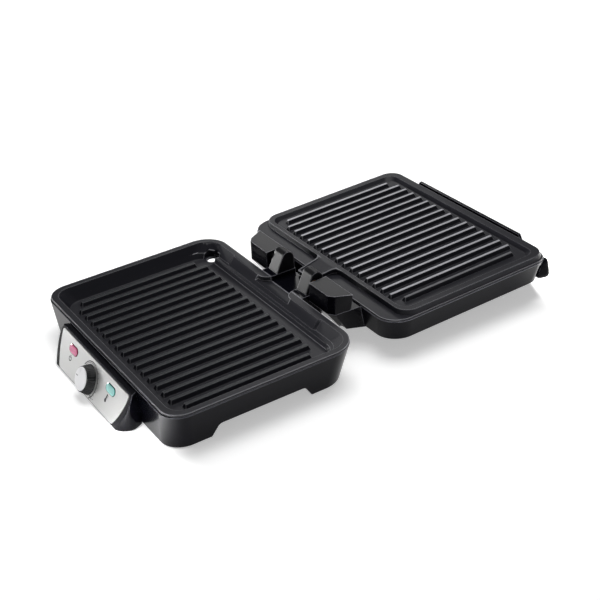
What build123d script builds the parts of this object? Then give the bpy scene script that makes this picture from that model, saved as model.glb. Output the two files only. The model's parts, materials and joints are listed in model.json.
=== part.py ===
from build123d import *
import math
import os

# Contact grill that opens flat, in millimetres.
# X runs left to right for someone facing the knob, Y from the knob to the opened lid, Z is up.
# Base pieces are drawn with the hinge axis over Y = 0 and the table at Z = 0.
# Lid pieces are drawn about the hinge axis as if the lid lay level, then tipped by lid_tilt.

# Ribs and heights of the base
rib_count = 17
rib_pitch = 13.5
rib_height = 4.0
rib_top_width = 3.6
rib_foot_width = 6.6
rib_top_z = 30.0
rib_front_y = -186.4
rib_back_y = -46.0
end_rib_shorter = 7.0

# Lower plate
rim_top_z = 39.1
rim_thickness = 2.6
rim_half_width = 134.4
rim_front_y = -204.0
rim_back_y = -16.5
rim_corner = 20.0
rim_rear_corner = 26.0
tray_crest_half_width = 127.8
tray_crest_front_y = -197.5
tray_crest_back_y = -24.5
tray_corner = 15.0
tray_rear_corner = 19.0
pan_wall = 2.0
pan_back_low = 9.0
pan_back_high = 4.0
jog_x = 77.0
jog_run = 4.0
crest_jog = 2.3
ledge_jog = 1.3
tray_floor_half_width = 119.5
tray_floor_front_y = -191.5
tray_floor_back_y = -36.0
ledge_z = 31.0
ledge_half_width = 123.0
ledge_front_y = -194.0
ledge_front_of_step_y = -34.8
ledge_back_y = -31.0
plate_wall = 3.0
spout_z = 34.5
spout_mouth_half = 30.0
spout_turn = 11.5
spout_floor_thickness = 2.5
spout_side = 3.0
plate_screw_x = 70.0
plate_screw_inset = 5.4
plate_screw_length = 7.5

# Drain in the back left corner and the bay under it, open to the left and the back
drain_x = -109.0
drain_y = -33.5
drain_radius = 5.5
drain_pocket_radius = 9.0
drain_wall = 1.8
drain_thickness = 2.0
bay_front_y = -62.0
bay_inner_x = -93.0
bay_top_z = 20.5

# Base housing
housing_rim_z = 36.5
housing_side_overhang = 0.7
housing_front_overhang = 1.2
housing_back_overhang = 1.0
housing_corner = 20.5
housing_rear_corner = 28.0
housing_draft = 8.0
housing_front_draft = 1.3
housing_wall = 2.6
floor_under_z = 13.2
floor_thickness = 2.5
foot_z = 1.5
foot_length_front = 39.2
foot_length_rear = 49.8
arch_slope = 8.0
arch_round = 5.0
pad_radius = 9.0
pad_hole_radius = 2.4
pad_stem_length = 5.0
post_radius = 9.5
pad_side_x = 108.0
pad_front_y = -180.0
pad_rear_right_y = -42.0
pad_rear_left_y = -75.0

# Opening in the housing floor and its cover
hatch_half_width = 76.0
hatch_front_y = -150.0
hatch_back_y = -62.0
cover_lap = 9.0
cover_screw_inset = 10.0
cover_screw_length = 3.2
cover_thickness = 1.0
vent_count = 9
vent_length = 60.0
vent_width = 4.0

# Rear deck with the hinge saddles
deck_half_width = 36.0
deck_back_y = 11.0
deck_top_z = 39.1
deck_floor_z = 15.0
saddle_inner_x = 18.0
saddle_outer_x = 34.0
saddle_foot_y = -10.3
saddle_back_y = 10.4
saddle_crown_y = 3.9
saddle_crown_z = 52.5
saddle_crown_radius = 6.5
saddle_wall = 3.0
saddle_screw_front_y = -5.5
saddle_screw_back_y = 4.8
saddle_screw_bite = 3.4

# Hinge
hinge_z = 48.0
lid_tilt = 1.41
pin_radius = 2.8
pin_clearance = 0.05
bush_wall = 1.05
pin_tip_inset = 1.5
pin_flat = 2.2
washer_front_y = -3.0
washer_back_y = 6.5
washer_half_height = 3.4
washer_thickness = 1.2
washer_gap = 0.4
pin_tail = 2.0
float_travel = 14.0
slot_clearance = 0.12

# Front control box
panel_top_y = -211.5
panel_top_z = 32.6
panel_lean = 27.0
panel_height = 34.4
panel_top_half = 71.2
panel_middle_half = 66.8
panel_bottom_half = 57.8
panel_corner = 6.0
panel_top_corner = 2.0
panel_thickness = 1.4
panel_proud = 0.5
fascia_gap = 0.15
bezel_half_width = 76.4
bezel_low_corner = 17.5
bezel_middle_corner = 7.6
bezel_high_corner = 0.6
bezel_middle_z = 14.2
bezel_waist_half = 75.6
bezel_waist_y = -212.0
bezel_rear_half = 71.5
bezel_rear_y = -203.5
bezel_belly_y = -217.0
bezel_wall = 2.4
bezel_top_z = 34.6
bezel_bottom_z = 0.6
knob_drop = 19.5
knob_radius = 14.0
knob_top_radius = 11.6
knob_height = 7.5
knob_gap = 0.3
knob_flute_count = 30
knob_flute_radius = 0.7
knob_flute_length = 6.0
knob_bore_depth = 6.0
cap_radius = 10.8
cap_thickness = 1.2
cap_sunk = 0.7
pointer_angle = 125.0
pointer_length = 5.0
pointer_width = 1.0
pointer_depth = 0.3
shaft_radius = 3.0
shaft_hole_radius = 3.6
shaft_inside = 5.5
wire_window_half = 12.0
wire_window_height = 10.0
thermostat_width = 24.0
thermostat_height = 15.0
thermostat_depth = 9.0
lens_x = 40.5
lens_drop = 9.5
lens_width = 18.5
lens_height = 8.6
lens_clearance = 0.1
lens_proud = 0.2
lamp_length = 6.0
lamp_radius = 2.8
bezel_screw_x = 58.0
bezel_screw_z = 24.0
bezel_boss_radius = 4.0
bezel_boss_length = 14.0
bezel_screw_bite = 7.0

# Lid plate, all heights measured from the hinge axis
lid_rib_pitch = 12.77
lid_rib_top_z = -5.05
lid_rib_top_width = 2.6
lid_rib_foot_width = 5.6
lid_rib_near_y = 46.0
lid_rib_far_y = 189.2
border_z = -5.7
border_half_width = 123.9
border_near_y = 38.0
border_far_y = 205.4
border_corner = 15.0
border_flare = 1.2
border_inner_half = 116.8
border_inner_near_y = 42.5
border_inner_far_y = 197.5
border_inner_corner = 10.0
valley_slope = 3.5
flange_z = -10.7
flange_thickness = 2.0
flange_half_width = 126.4
flange_near_y = 22.2
flange_far_y = 208.0
flange_corner = 16.0
flange_near_corner = 22.0
tongue_half_width = 14.8
tongue_end_half = 12.4
tongue_turn = 8.0
tongue_start_y = 36.5
tongue_end_y = 9.8
tongue_drop = 3.9
tongue_thickness = 2.0
tongue_lip = 0.8
tongue_lip_width = 1.4
lid_screw_x = 100.0
lid_screw_length = 12.0

# Lid housing
lid_half_width = 127.2
lid_near_y = 21.4
lid_far_y = 208.8
lid_near_draft = 1.5
lid_near_corner = 23.0
lid_corner = 17.0
lid_bottom_z = -34.7
lid_draft = 5.6
lid_wall = 2.4
lid_bottom_round = 2.0
lip_half_length = 80.0
lip_thickness = 3.0
lip_top_z = -5.2
lip_slope = 1.6

# Lid arms and their covers
arm_inner_x = 38.5
arm_back_y = 11.2
arm_top_z = 6.3
cover_top_front = (70.0, -8.0)
cover_top_bevel = (75.5, -4.0)
cover_top_back_x = 84.0
parting_front = (69.0, -9.7)
parting_bevel = (75.8, -5.0)
parting_back_x = 77.8
parting_root_x = 78.5
arm_low_front = (67.5, 5.0)
arm_low_bevel = (72.5, 8.0)
arm_low_root_x = 80.6
arm_wall = 2.6
arm_post_x = (52.0, 68.0)
arm_post_y = 7.0
arm_post_radius = 5.4
arm_boss_radius = 4.0
arm_screw_seat_z = -19.0
arm_screw_bite = 6.0

# Handle
handle_half_span = 122.0
handle_end_y = 203.5
handle_end_z = -24.0
handle_bow = 19.0
handle_thickness = 15.0
handle_depth = 20.0
handle_round = 5.0
handle_post_x = 80.0
handle_post_width = 16.0
handle_post_top_z = -23.4
handle_post_bottom_z = -33.4
handle_gap = 0.3
handle_end_round = 4.5
handle_screw_bite = 14.0
rest_x = 45.0
rest_radius = 6.0
rest_seat_depth = 3.0

# Fasteners
screw_radius = 1.8
screw_hole_radius = 1.95
screw_head_radius = 3.4
screw_head_height = 2.2
boss_radius = 4.5
seat_gap = 0.3
seat_boss_radius = 4.6
seat_boss_rise = 1.5
head_clearance = 0.4

# Heating
element_radius = 3.0
element_bend = 26.0
element_inset = 7.0
reflector_thickness = 0.6
reflector_half_width = 90.0
reflector_margin = 17.0
lid_reflector_margin = 10.0
lid_reflector_rise = 5.0

# Cord inlet
gland_x = -70.0
gland_z = 23.0
gland_radius = 6.5
gland_bore = 3.8
gland_flange_radius = 8.5
gland_flange_thickness = 3.5
gland_inside = 4.0
terminal_offset = 24.0
terminal_y = -29.0
terminal_length = 24.0
terminal_width = 9.0
terminal_height = 5.0
terminal_ways = 3
fuse_radius = 2.0
fuse_length = 14.0
fuse_y = -116.0

# Worked out from the sizes above
housing_half_width = rim_half_width + housing_side_overhang
housing_front_y = rim_front_y - housing_front_overhang
housing_back_y = rim_back_y + housing_back_overhang
rib_foot_z = rib_top_z - rib_height
plate_bottom_z = rib_foot_z - plate_wall
rim_under_z = rim_top_z - rim_thickness
floor_top_z = floor_under_z + floor_thickness
deck_ceiling_z = spout_z - housing_wall
lid_valley_z = lid_rib_top_z - rib_height
flange_under_z = flange_z - flange_thickness
lid_rim_z = flange_under_z
lid_floor_z = lid_bottom_z + lid_wall
arm_parting_z = lid_rim_z
arm_root_y = lid_near_y + lid_near_draft + 1
element_half_width = reflector_half_width - element_inset
lean = math.radians(panel_lean)
tilt = math.radians(lid_tilt)
panel_normal = (0, -math.cos(lean), math.sin(lean))
panel = Plane(origin=(0, panel_top_y, panel_top_z), x_dir=(1, 0, 0), z_dir=panel_normal)
bush_radius = pin_radius + pin_clearance + bush_wall
slot_half = pin_flat + slot_clearance
slot_end = pin_radius + slot_clearance
handle_middle_y = handle_end_y + handle_bow
handle_middle_z = handle_end_z - handle_bow


def span(x, y, z):
    """A box between two values along each axis."""
    size = (x[1] - x[0], y[1] - y[0], z[1] - z[0])
    centre = ((x[0] + x[1]) / 2, (y[0] + y[1]) / 2, (z[0] + z[1]) / 2)
    return Pos(*centre) * Box(*size)


def rounded(half_width, front_y, back_y, corner, z, back_corner=None):
    """A rectangle with rounded corners, symmetric about X = 0, lying at height z."""
    points = [(-half_width, front_y), (half_width, front_y), (half_width, back_y), (-half_width, back_y)]
    rear = corner if back_corner is None else back_corner
    return Plane.XY.offset(z) * cornered(points, (corner, corner, rear, rear))


def cornered(points, radii):
    """A face with straight sides and a radius of its own at each corner."""
    outline = make_face(Polyline(*points, close=True))
    for (x, y), radius in zip(points, radii):
        if radius > 0:
            corner = outline.vertices().sort_by_distance((x, y))[0]
            outline = fillet(corner, radius)
    return outline


def jogged(half_width, front_y, back_y, jog, z):
    """An outline of the tray whose back edge steps back by jog on each side."""
    far_y = back_y + jog
    right = [(half_width, front_y), (half_width, far_y), (jog_x + jog_run, far_y), (jog_x, back_y)]
    left = [(-x, y) for x, y in reversed(right)]
    radii = (tray_corner, tray_rear_corner, 0, 0, 0, 0, tray_rear_corner, tray_corner)
    return Plane.XY.offset(z) * cornered(right + left, radii)


def drafted(low, high):
    """A solid between two outlines at different heights."""
    return loft([low.face(), high.face()])


def slab(half_width, front_y, back_y, corner, low_z, high_z, back_corner=None):
    """A flat rounded plate between two heights."""
    return extrude(rounded(half_width, front_y, back_y, corner, low_z, back_corner), high_z - low_z)


def post(radius, x, y, low_z, high_z):
    """An upright cylinder."""
    return Pos(x, y, (low_z + high_z) / 2) * Cylinder(radius, high_z - low_z)


def cross_rod(radius, x0, x1, y, z):
    """A cylinder along X."""
    return Pos((x0 + x1) / 2, y, z) * Rot(0, 90, 0) * Cylinder(radius, x1 - x0)


def long_rod(radius, x, y0, y1, z):
    """A cylinder along Y."""
    return Pos(x, (y0 + y1) / 2, z) * Rot(90, 0, 0) * Cylinder(radius, y1 - y0)


def side_profile(points, x0, x1):
    """A polygon of (y, z) points, drawn from x0 to x1."""
    outline = make_face(Polyline(*[(y, z) for y, z in points], close=True))
    return Pos(x0, 0, 0) * extrude(Plane.YZ * outline, x1 - x0)


def plan_profile(points, low_z, high_z):
    """A polygon of (x, y) points, drawn between two heights."""
    outline = make_face(Polyline(*points, close=True))
    return extrude(Plane.XY.offset(low_z) * outline, high_z - low_z)


def flipped(solid):
    """The same piece on the other side of X = 0."""
    return mirror(solid, Plane.YZ)


def both(solid):
    """A piece and its mirror image."""
    return [solid, flipped(solid)]


def screw(x, y, seat_z, length):
    """A screw with its head under seat_z and its shank above."""
    head = post(screw_head_radius, x, y, seat_z - screw_head_height, seat_z)
    shank = post(screw_radius, x, y, seat_z, seat_z + length)
    return head + shank


def rib(x, front_y, back_y, foot_z, top_width, foot_width):
    """One raised rib with sloping sides and ends."""
    run = (foot_width - top_width) / 2
    place = Pos(x, (front_y + back_y) / 2)
    length = back_y - front_y
    foot = Plane.XY.offset(foot_z) * (place * Rectangle(foot_width, length))
    top = Plane.XY.offset(foot_z + rib_height) * (place * Rectangle(top_width, length - 2 * run))
    return drafted(foot, top)


def ribs(pitch, front_y, back_y, foot_z, top_width, foot_width):
    """The row of ribs of one plate, with the two end ribs shorter."""
    row = []
    for index in range(rib_count):
        x = (index - (rib_count - 1) / 2) * pitch
        cut = end_rib_shorter if index in (0, rib_count - 1) else 0.0
        row.append(rib(x, front_y + cut, back_y - cut, foot_z, top_width, foot_width))
    return row


def housing_draw(z, draft=housing_draft):
    """How far a housing wall of this draft has drawn in at height z."""
    return draft * (housing_rim_z - z) / (housing_rim_z - foot_z)


def lid_draw(z, draft=lid_draft):
    """How far a lid wall of this draft has drawn in at height z from the hinge axis."""
    return draft * (lid_rim_z - z) / (lid_rim_z - lid_bottom_z)


def plate_screw_places():
    """Places of the screws that hold the lower plate."""
    rows = (rib_front_y + plate_screw_inset, rib_back_y)
    return [(side * plate_screw_x, y) for side in (-1, 1) for y in rows]


def lid_screw_places():
    """Places of the screws that hold the lid plate."""
    return [(side * lid_screw_x, y) for side in (-1, 1) for y in (lid_rib_near_y, lid_rib_far_y)]


def cover_screw_places():
    """Places of the bottom cover's screws."""
    x = hatch_half_width + cover_lap / 2
    rows = (hatch_front_y + cover_screw_inset, hatch_back_y - cover_screw_inset)
    return [(side * x, y) for side in (-1, 1) for y in rows]


def pad_places():
    """Places of the four rubber feet, the rear left one in front of the drain bay."""
    return [
        (-pad_side_x, pad_front_y),
        (pad_side_x, pad_front_y),
        (-pad_side_x, pad_rear_left_y),
        (pad_side_x, pad_rear_right_y),
    ]


def make_lower_plate():
    """Tray with a rim, ribs, ledge, spout and drain."""
    rim = slab(rim_half_width, rim_front_y, rim_back_y, rim_corner, rim_under_z, rim_top_z, rim_rear_corner)
    under_half = tray_floor_half_width + pan_wall
    under_front_y = tray_floor_front_y - pan_wall
    pan_back_y = tray_crest_back_y + pan_back_high
    pan = drafted(
        rounded(under_half, under_front_y, tray_floor_back_y + pan_back_low, tray_corner, plate_bottom_z),
        rounded(tray_crest_half_width, tray_crest_front_y, pan_back_y, tray_corner, rim_under_z),
    )
    lower_hollow = drafted(
        rounded(tray_floor_half_width, tray_floor_front_y, tray_floor_back_y, tray_corner, rib_foot_z),
        rounded(ledge_half_width, ledge_front_y, ledge_front_of_step_y, tray_corner, ledge_z),
    )
    upper_hollow = drafted(
        jogged(ledge_half_width, ledge_front_y, ledge_back_y, ledge_jog, ledge_z),
        jogged(tray_crest_half_width, tray_crest_front_y, tray_crest_back_y, crest_jog, rim_top_z),
    )
    spout_floor = span(
        (-spout_mouth_half - spout_side, spout_mouth_half + spout_side),
        (ledge_back_y, rim_back_y),
        (spout_z - spout_floor_thickness, rim_under_z),
    )
    drain_boss = post(drain_pocket_radius + drain_wall, drain_x, drain_y, plate_bottom_z, rim_under_z)
    body = rim + pan + drain_boss + spout_floor - lower_hollow - upper_hollow - channel()
    body += ribs(rib_pitch, rib_front_y, rib_back_y, rib_foot_z, rib_top_width, rib_foot_width)
    body -= post(drain_pocket_radius, drain_x, drain_y, rib_foot_z, ledge_z + 2)
    body -= post(drain_pocket_radius, drain_x, drain_y, plate_bottom_z - 1, rib_foot_z - drain_thickness)
    body -= post(drain_radius, drain_x, drain_y, plate_bottom_z, rib_foot_z + 1)
    for x, y in plate_screw_places():
        body += post(boss_radius, x, y, floor_top_z, plate_bottom_z + 0.5)
        body -= post(screw_hole_radius, x, y, floor_top_z - 1, plate_bottom_z + 1)
    return body


def channel():
    """The space of the channel from the hinge to the tray, wider at its mouth."""
    mouth_y = ledge_back_y - spout_side
    end_y = deck_back_y + 1
    right = [
        (spout_mouth_half, mouth_y),
        (spout_mouth_half, tray_crest_back_y),
        (saddle_inner_x, tray_crest_back_y),
        (saddle_inner_x, end_y),
    ]
    left = [(-x, y) for x, y in reversed(right)]
    outline = cornered(right + left, (0, 0, spout_turn, 0, 0, spout_turn, 0, 0))
    return extrude(Plane.XY.offset(spout_z) * outline, deck_top_z + 1 - spout_z)


def housing_outline(inset, low_z, high_z):
    """The drafted body of the base housing, drawn in by inset."""
    def outline(z):
        drawn_in = inset + housing_draw(z)
        return rounded(
            housing_half_width - drawn_in,
            housing_front_y + inset + housing_draw(z, housing_front_draft),
            housing_back_y - drawn_in,
            housing_corner - inset,
            z,
            housing_rear_corner - inset,
        )
    return drafted(outline(low_z), outline(high_z))


def arch(low_end, high_end):
    """Outline of the gap between two feet, with sloped ends and rounded upper corners."""
    below = foot_z - 1
    outline = make_face(
        Polyline(
            (low_end, below),
            (low_end + arch_slope, floor_under_z),
            (high_end - arch_slope, floor_under_z),
            (high_end, below),
            close=True,
        )
    )
    return fillet(outline.vertices().sort_by(Axis.Y)[-2:], arch_round)


def bay_box(grow, high_z):
    """The bay under the drain, grown on its closed sides, up to a height."""
    left_x = -housing_half_width - 5
    return span((left_x, bay_inner_x + grow), (bay_front_y - grow, housing_back_y + 5), (-5, high_z))


def make_base_housing():
    """Glossy base shell with a floor, corner feet, rear deck and drain bay."""
    shell = housing_outline(0, floor_under_z, housing_rim_z)
    shell -= housing_outline(housing_wall, floor_top_z, housing_rim_z + 0.01)
    skirt = housing_outline(0, foot_z, floor_under_z)
    skirt -= housing_outline(housing_wall, foot_z - 0.01, floor_under_z)
    side_gap = arch(housing_front_y + foot_length_front, housing_back_y - foot_length_rear)
    skirt -= extrude(Plane.YZ * side_gap, 2 * housing_half_width, both=True)
    shell += skirt
    for x, y in pad_places():
        shell += post(post_radius, x, y, foot_z, floor_under_z)
        shell -= post(pad_hole_radius + pin_clearance, x, y, foot_z - 1, foot_z + pad_stem_length + seat_gap)
    bay_wall = housing_outline(0, foot_z, housing_rim_z) & bay_box(housing_wall, plate_bottom_z - seat_gap)
    well = housing_outline(housing_wall, foot_z, housing_rim_z) & bay_box(0, housing_rim_z)
    shell = shell + bay_wall - bay_box(0, bay_top_z) - well
    shell = shell + rear_deck() - deck_hollow() - channel()
    shell -= slab(
        rim_half_width + seat_gap,
        rim_front_y - seat_gap,
        rim_back_y + seat_gap,
        rim_corner + seat_gap,
        rim_under_z,
        deck_top_z + 1,
        rim_rear_corner + seat_gap,
    )
    floor_half = spout_mouth_half + spout_side + seat_gap
    shell -= span(
        (-floor_half, floor_half),
        (ledge_back_y, rim_back_y + seat_gap),
        (spout_z - spout_floor_thickness - seat_gap, rim_top_z),
    )
    through_floor = (floor_under_z - 1, floor_top_z + 1)
    shell -= span((-hatch_half_width, hatch_half_width), (hatch_front_y, hatch_back_y), through_floor)
    for x, y in plate_screw_places():
        shell -= post(screw_hole_radius, x, y, floor_under_z - 1, floor_top_z + 1)
    for x, y in cover_screw_places():
        shell -= post(screw_radius, x, y, floor_under_z - 1, floor_top_z + 1)
    inlet_y = housing_back_y - housing_draw(gland_z)
    inlet_radius = gland_radius + pin_clearance
    shell -= long_rod(inlet_radius, gland_x, inlet_y - 2 * housing_wall, inlet_y + housing_wall, gland_z)
    shell -= span(
        (-wire_window_half, wire_window_half),
        (housing_front_y - 1, housing_front_y + housing_front_draft + housing_wall + 1),
        (floor_top_z, floor_top_z + wire_window_height),
    )
    seat_y = bezel_screw_seat_y()
    for x in (-bezel_screw_x, bezel_screw_x):
        shell += long_rod(seat_boss_radius, x, seat_y - seat_boss_rise - 0.5, seat_y, bezel_screw_z)
        shell -= long_rod(screw_hole_radius, x, bezel_screw_end_y(), seat_y + 1, bezel_screw_z)
    for x, y in saddle_screw_places():
        access_radius = screw_head_radius + head_clearance
        shell -= post(access_radius, x, y, deck_floor_z - 1, deck_floor_z + housing_wall + 1)
        shell -= post(screw_hole_radius, x, y, deck_ceiling_z - 1, deck_top_z + 1)
    return shell


def rear_deck():
    """The bridge behind the tray that carries the hinge saddles."""
    return span((-deck_half_width, deck_half_width), (rim_back_y, deck_back_y), (deck_floor_z, deck_top_z))


def deck_hollow():
    """The space inside the rear deck, open to the inside of the housing."""
    return span(
        (-deck_half_width + housing_wall, deck_half_width - housing_wall),
        (housing_back_y - housing_draft - 2 * housing_wall, deck_back_y - housing_wall),
        (deck_floor_z + housing_wall, deck_ceiling_z),
    )


def bezel_screw_seat_y():
    """Y of the seat inside the housing's front wall for the bezel screws."""
    return housing_front_y + housing_draw(bezel_screw_z, housing_front_draft) + housing_wall + seat_boss_rise


def saddle_screw_places():
    """Places of the screws that hold the two saddles."""
    middle = (saddle_inner_x + saddle_outer_x) / 2
    return [(side * middle, y) for side in (-1, 1) for y in (saddle_screw_front_y, saddle_screw_back_y)]


def make_saddle():
    """Right hinge saddle, a bracket with a round crown behind the pin and a sloping front."""
    tangent = flank_end()
    flank = side_profile(
        [
            (saddle_foot_y, deck_top_z),
            (saddle_back_y, deck_top_z),
            (saddle_back_y, saddle_crown_z),
            (saddle_crown_y, saddle_crown_z),
            tangent,
        ],
        saddle_inner_x,
        saddle_outer_x,
    )
    crown = cross_rod(saddle_crown_radius, saddle_inner_x, saddle_outer_x, saddle_crown_y, saddle_crown_z)
    body = flank + crown
    body -= cross_rod(bush_radius, saddle_inner_x + saddle_wall, saddle_outer_x + 1, 0, hinge_z)
    for x, y in saddle_screw_places():
        body -= post(screw_radius, abs(x), y, deck_top_z - 1, deck_top_z + saddle_screw_bite)
    return body


def flank_end():
    """Y and Z where the saddle's sloping front meets its crown."""
    run = saddle_crown_y - saddle_foot_y
    rise = saddle_crown_z - deck_top_z
    away = math.hypot(run, rise)
    slope = math.atan2(rise, run) + math.asin(saddle_crown_radius / away)
    length = math.sqrt(away ** 2 - saddle_crown_radius ** 2)
    return saddle_foot_y + length * math.cos(slope), deck_top_z + length * math.sin(slope)


def make_bush():
    """Right hinge bush, a plain sleeve pressed into the saddle."""
    start = saddle_inner_x + saddle_wall
    sleeve = cross_rod(bush_radius, start, saddle_outer_x, 0, hinge_z)
    return sleeve - cross_rod(pin_radius + pin_clearance, start - 1, saddle_outer_x + 1, 0, hinge_z)


def make_pin():
    """Right hinge pin with two flats for the slot and a retaining plate inside the lid arm."""
    start = saddle_inner_x + saddle_wall + pin_tip_inset
    washer_x = arm_inner_x + arm_wall + washer_gap
    end = washer_x + washer_thickness + pin_tail
    pin = cross_rod(pin_radius, start, end, 0, 0)
    for low, high in ((pin_flat, pin_radius + 1), (-pin_radius - 1, -pin_flat)):
        pin -= span((arm_inner_x - washer_gap, end + 1), (low, high), (-pin_radius - 1, pin_radius + 1))
    plate = span(
        (washer_x, washer_x + washer_thickness),
        (washer_front_y, washer_back_y),
        (-washer_half_height, washer_half_height),
    )
    return tipped(pin + plate)


def make_foot_pads():
    """Four rubber feet with stems pushed into the foot posts."""
    pads = []
    for x, y in pad_places():
        disc = post(pad_radius, x, y, 0, foot_z)
        stem = post(pad_hole_radius, x, y, foot_z, foot_z + pad_stem_length)
        pads.append(disc + stem)
    return pads


def make_bottom_cover():
    """Sheet cover over the opening in the housing floor, with vents."""
    reach = cover_lap
    sheet = span(
        (-hatch_half_width - reach, hatch_half_width + reach),
        (hatch_front_y - reach, hatch_back_y + reach),
        (floor_under_z - cover_thickness, floor_under_z),
    )
    middle_y = (hatch_front_y + hatch_back_y) / 2
    for index in range(vent_count):
        x = (index - (vent_count - 1) / 2) * vent_width * 3
        sheet -= Pos(x, middle_y, floor_under_z) * Box(vent_width, vent_length, 4)
    for x, y in cover_screw_places():
        sheet -= post(screw_hole_radius, x, y, floor_under_z - 3, floor_under_z + 1)
    return sheet


def element(front_y, back_y, z):
    """A sheathed heating element bent into a U inside the ends of its reflector."""
    inward = math.copysign(element_inset, back_y - front_y)
    path = FilletPolyline(
        (-element_half_width, back_y - inward, z),
        (-element_half_width, front_y + inward, z),
        (element_half_width, front_y + inward, z),
        (element_half_width, back_y - inward, z),
        radius=element_bend,
    )
    section = Plane(origin=path @ 0, z_dir=path % 0) * Circle(element_radius)
    return sweep(section, path)


def reflector(front_y, back_y, low_z, high_z):
    """A shallow sheet dish that throws the heat back at the plate."""
    outer = span((-reflector_half_width, reflector_half_width), (front_y, back_y), (low_z, high_z))
    inner = span(
        (-reflector_half_width + reflector_thickness, reflector_half_width - reflector_thickness),
        (front_y + reflector_thickness, back_y - reflector_thickness),
        (low_z + reflector_thickness, high_z + 1),
    )
    return outer - inner


def fascia_block(grow, depth_from, depth_to):
    """The fascia's outline with bowed sides, grown all round, between two depths behind the panel."""
    low = -panel_height
    right = ThreePointArc((panel_bottom_half, low), (panel_middle_half, low / 2), (panel_top_half, 0))
    left = ThreePointArc((-panel_top_half, 0), (-panel_middle_half, low / 2), (-panel_bottom_half, low))
    top = Line((panel_top_half, 0), (-panel_top_half, 0))
    bottom = Line((-panel_bottom_half, low), (panel_bottom_half, low))
    outline = make_face([right, top, left, bottom])
    outline = fillet(outline.vertices().sort_by(Axis.Y)[:2], panel_corner)
    outline = fillet(outline.vertices().sort_by(Axis.Y)[-2:], panel_top_corner)
    if grow > 0:
        outline = offset(outline, grow)
    return panel.location * extrude(Plane.XY.offset(-depth_to) * outline, depth_to - depth_from)


def control_box(inset):
    """The box in front of the housing, cut off by the leaning panel and full at its lower corners."""
    def section(z, corner):
        half = bezel_half_width - inset
        front_y = panel_top_y - (panel_top_z - z) * math.tan(lean) - 1
        front_corner = max(corner - inset, bezel_high_corner)
        face = rounded(half, front_y, housing_front_y + bezel_boss_length, 0, z)
        return fillet(face.vertices().sort_by(Axis.Y)[:2], front_corner)
    body = loft(
        [
            section(bezel_bottom_z + inset, bezel_low_corner).face(),
            section(bezel_middle_z, bezel_middle_corner).face(),
            section(bezel_top_z - inset, bezel_high_corner).face(),
        ]
    )
    right = [
        (bezel_rear_half - inset, housing_front_y + bezel_boss_length),
        (bezel_rear_half - inset, bezel_rear_y),
        (bezel_waist_half - inset, bezel_waist_y),
        (bezel_half_width - inset, bezel_belly_y),
        (bezel_half_width - inset, panel_top_y - panel_height),
    ]
    left = [(-x, y) for x, y in reversed(right)]
    body &= plan_profile(right + left, bezel_bottom_z, bezel_top_z)
    return split(body, bisect_by=panel.offset(-inset), keep=Keep.BOTTOM)


def make_bezel():
    """Black box that carries the fascia, knob and lights."""
    housing = housing_outline(0, foot_z - 3, housing_rim_z + 2)
    body = control_box(0) - housing
    body -= control_box(bezel_wall)
    behind_y = housing_front_y + bezel_boss_length
    for x in (-bezel_screw_x, bezel_screw_x):
        boss = long_rod(bezel_boss_radius, x, housing_front_y - bezel_boss_length, behind_y, bezel_screw_z)
        boss &= control_box(0)
        body += boss - housing
        body -= long_rod(screw_radius, x, bezel_screw_end_y(), behind_y, bezel_screw_z)
    body -= fascia_block(fascia_gap, -2 * panel_thickness, panel_thickness - panel_proud)
    body -= panel.location * Pos(0, -knob_drop, 0) * Box(thermostat_width, thermostat_height, 8)
    hole = extrude(SlotOverall(lens_width, lens_height), bezel_boss_length, both=True)
    for x in (-lens_x, lens_x):
        body -= panel.location * Pos(x, -lens_drop, 0) * hole
    return body


def make_fascia():
    """Silver plate with openings for the shaft and the two lights."""
    plate = fascia_block(0, -panel_proud, panel_thickness - panel_proud)
    plate -= panel.location * Pos(0, -knob_drop, 0) * Cylinder(shaft_hole_radius, 8)
    hole = extrude(SlotOverall(lens_width, lens_height), 2 * panel_thickness, both=True)
    for x in (-lens_x, lens_x):
        plate -= panel.location * Pos(x, -lens_drop, 0) * hole
    return plate


def make_lens(x):
    """A lens with round ends, set through the fascia and the bezel's wall."""
    window = SlotOverall(lens_width - 2 * lens_clearance, lens_height - 2 * lens_clearance)
    start = panel_thickness - panel_proud + bezel_wall
    return panel.location * Pos(x, -lens_drop, -start) * extrude(window, start + lens_proud + panel_proud)


def make_lamp(x):
    """A small lamp in its holder behind a lens."""
    front = -(panel_thickness - panel_proud + bezel_wall) - seat_gap
    return panel.location * Pos(x, -lens_drop, front - lamp_length / 2) * Cylinder(lamp_radius, lamp_length)


def make_thermostat():
    """Thermostat body behind the bezel, bored for its shaft."""
    front = -(panel_thickness - panel_proud) - 0.1
    width = thermostat_width - 2 * seat_gap
    height = thermostat_height - 2 * seat_gap
    middle = front - thermostat_depth / 2
    box = panel.location * Pos(0, -knob_drop, middle) * Box(width, height, thermostat_depth)
    bore = Cylinder(shaft_radius + pin_clearance, 2 * (shaft_inside + 1))
    return box - panel.location * Pos(0, -knob_drop, front) * bore


def make_shaft():
    """Thermostat shaft that carries the knob."""
    low = -(panel_thickness - panel_proud) - shaft_inside
    high = knob_gap + panel_proud + knob_bore_depth
    return panel.location * Pos(0, -knob_drop, (low + high) / 2) * Cylinder(shaft_radius, high - low)


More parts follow.
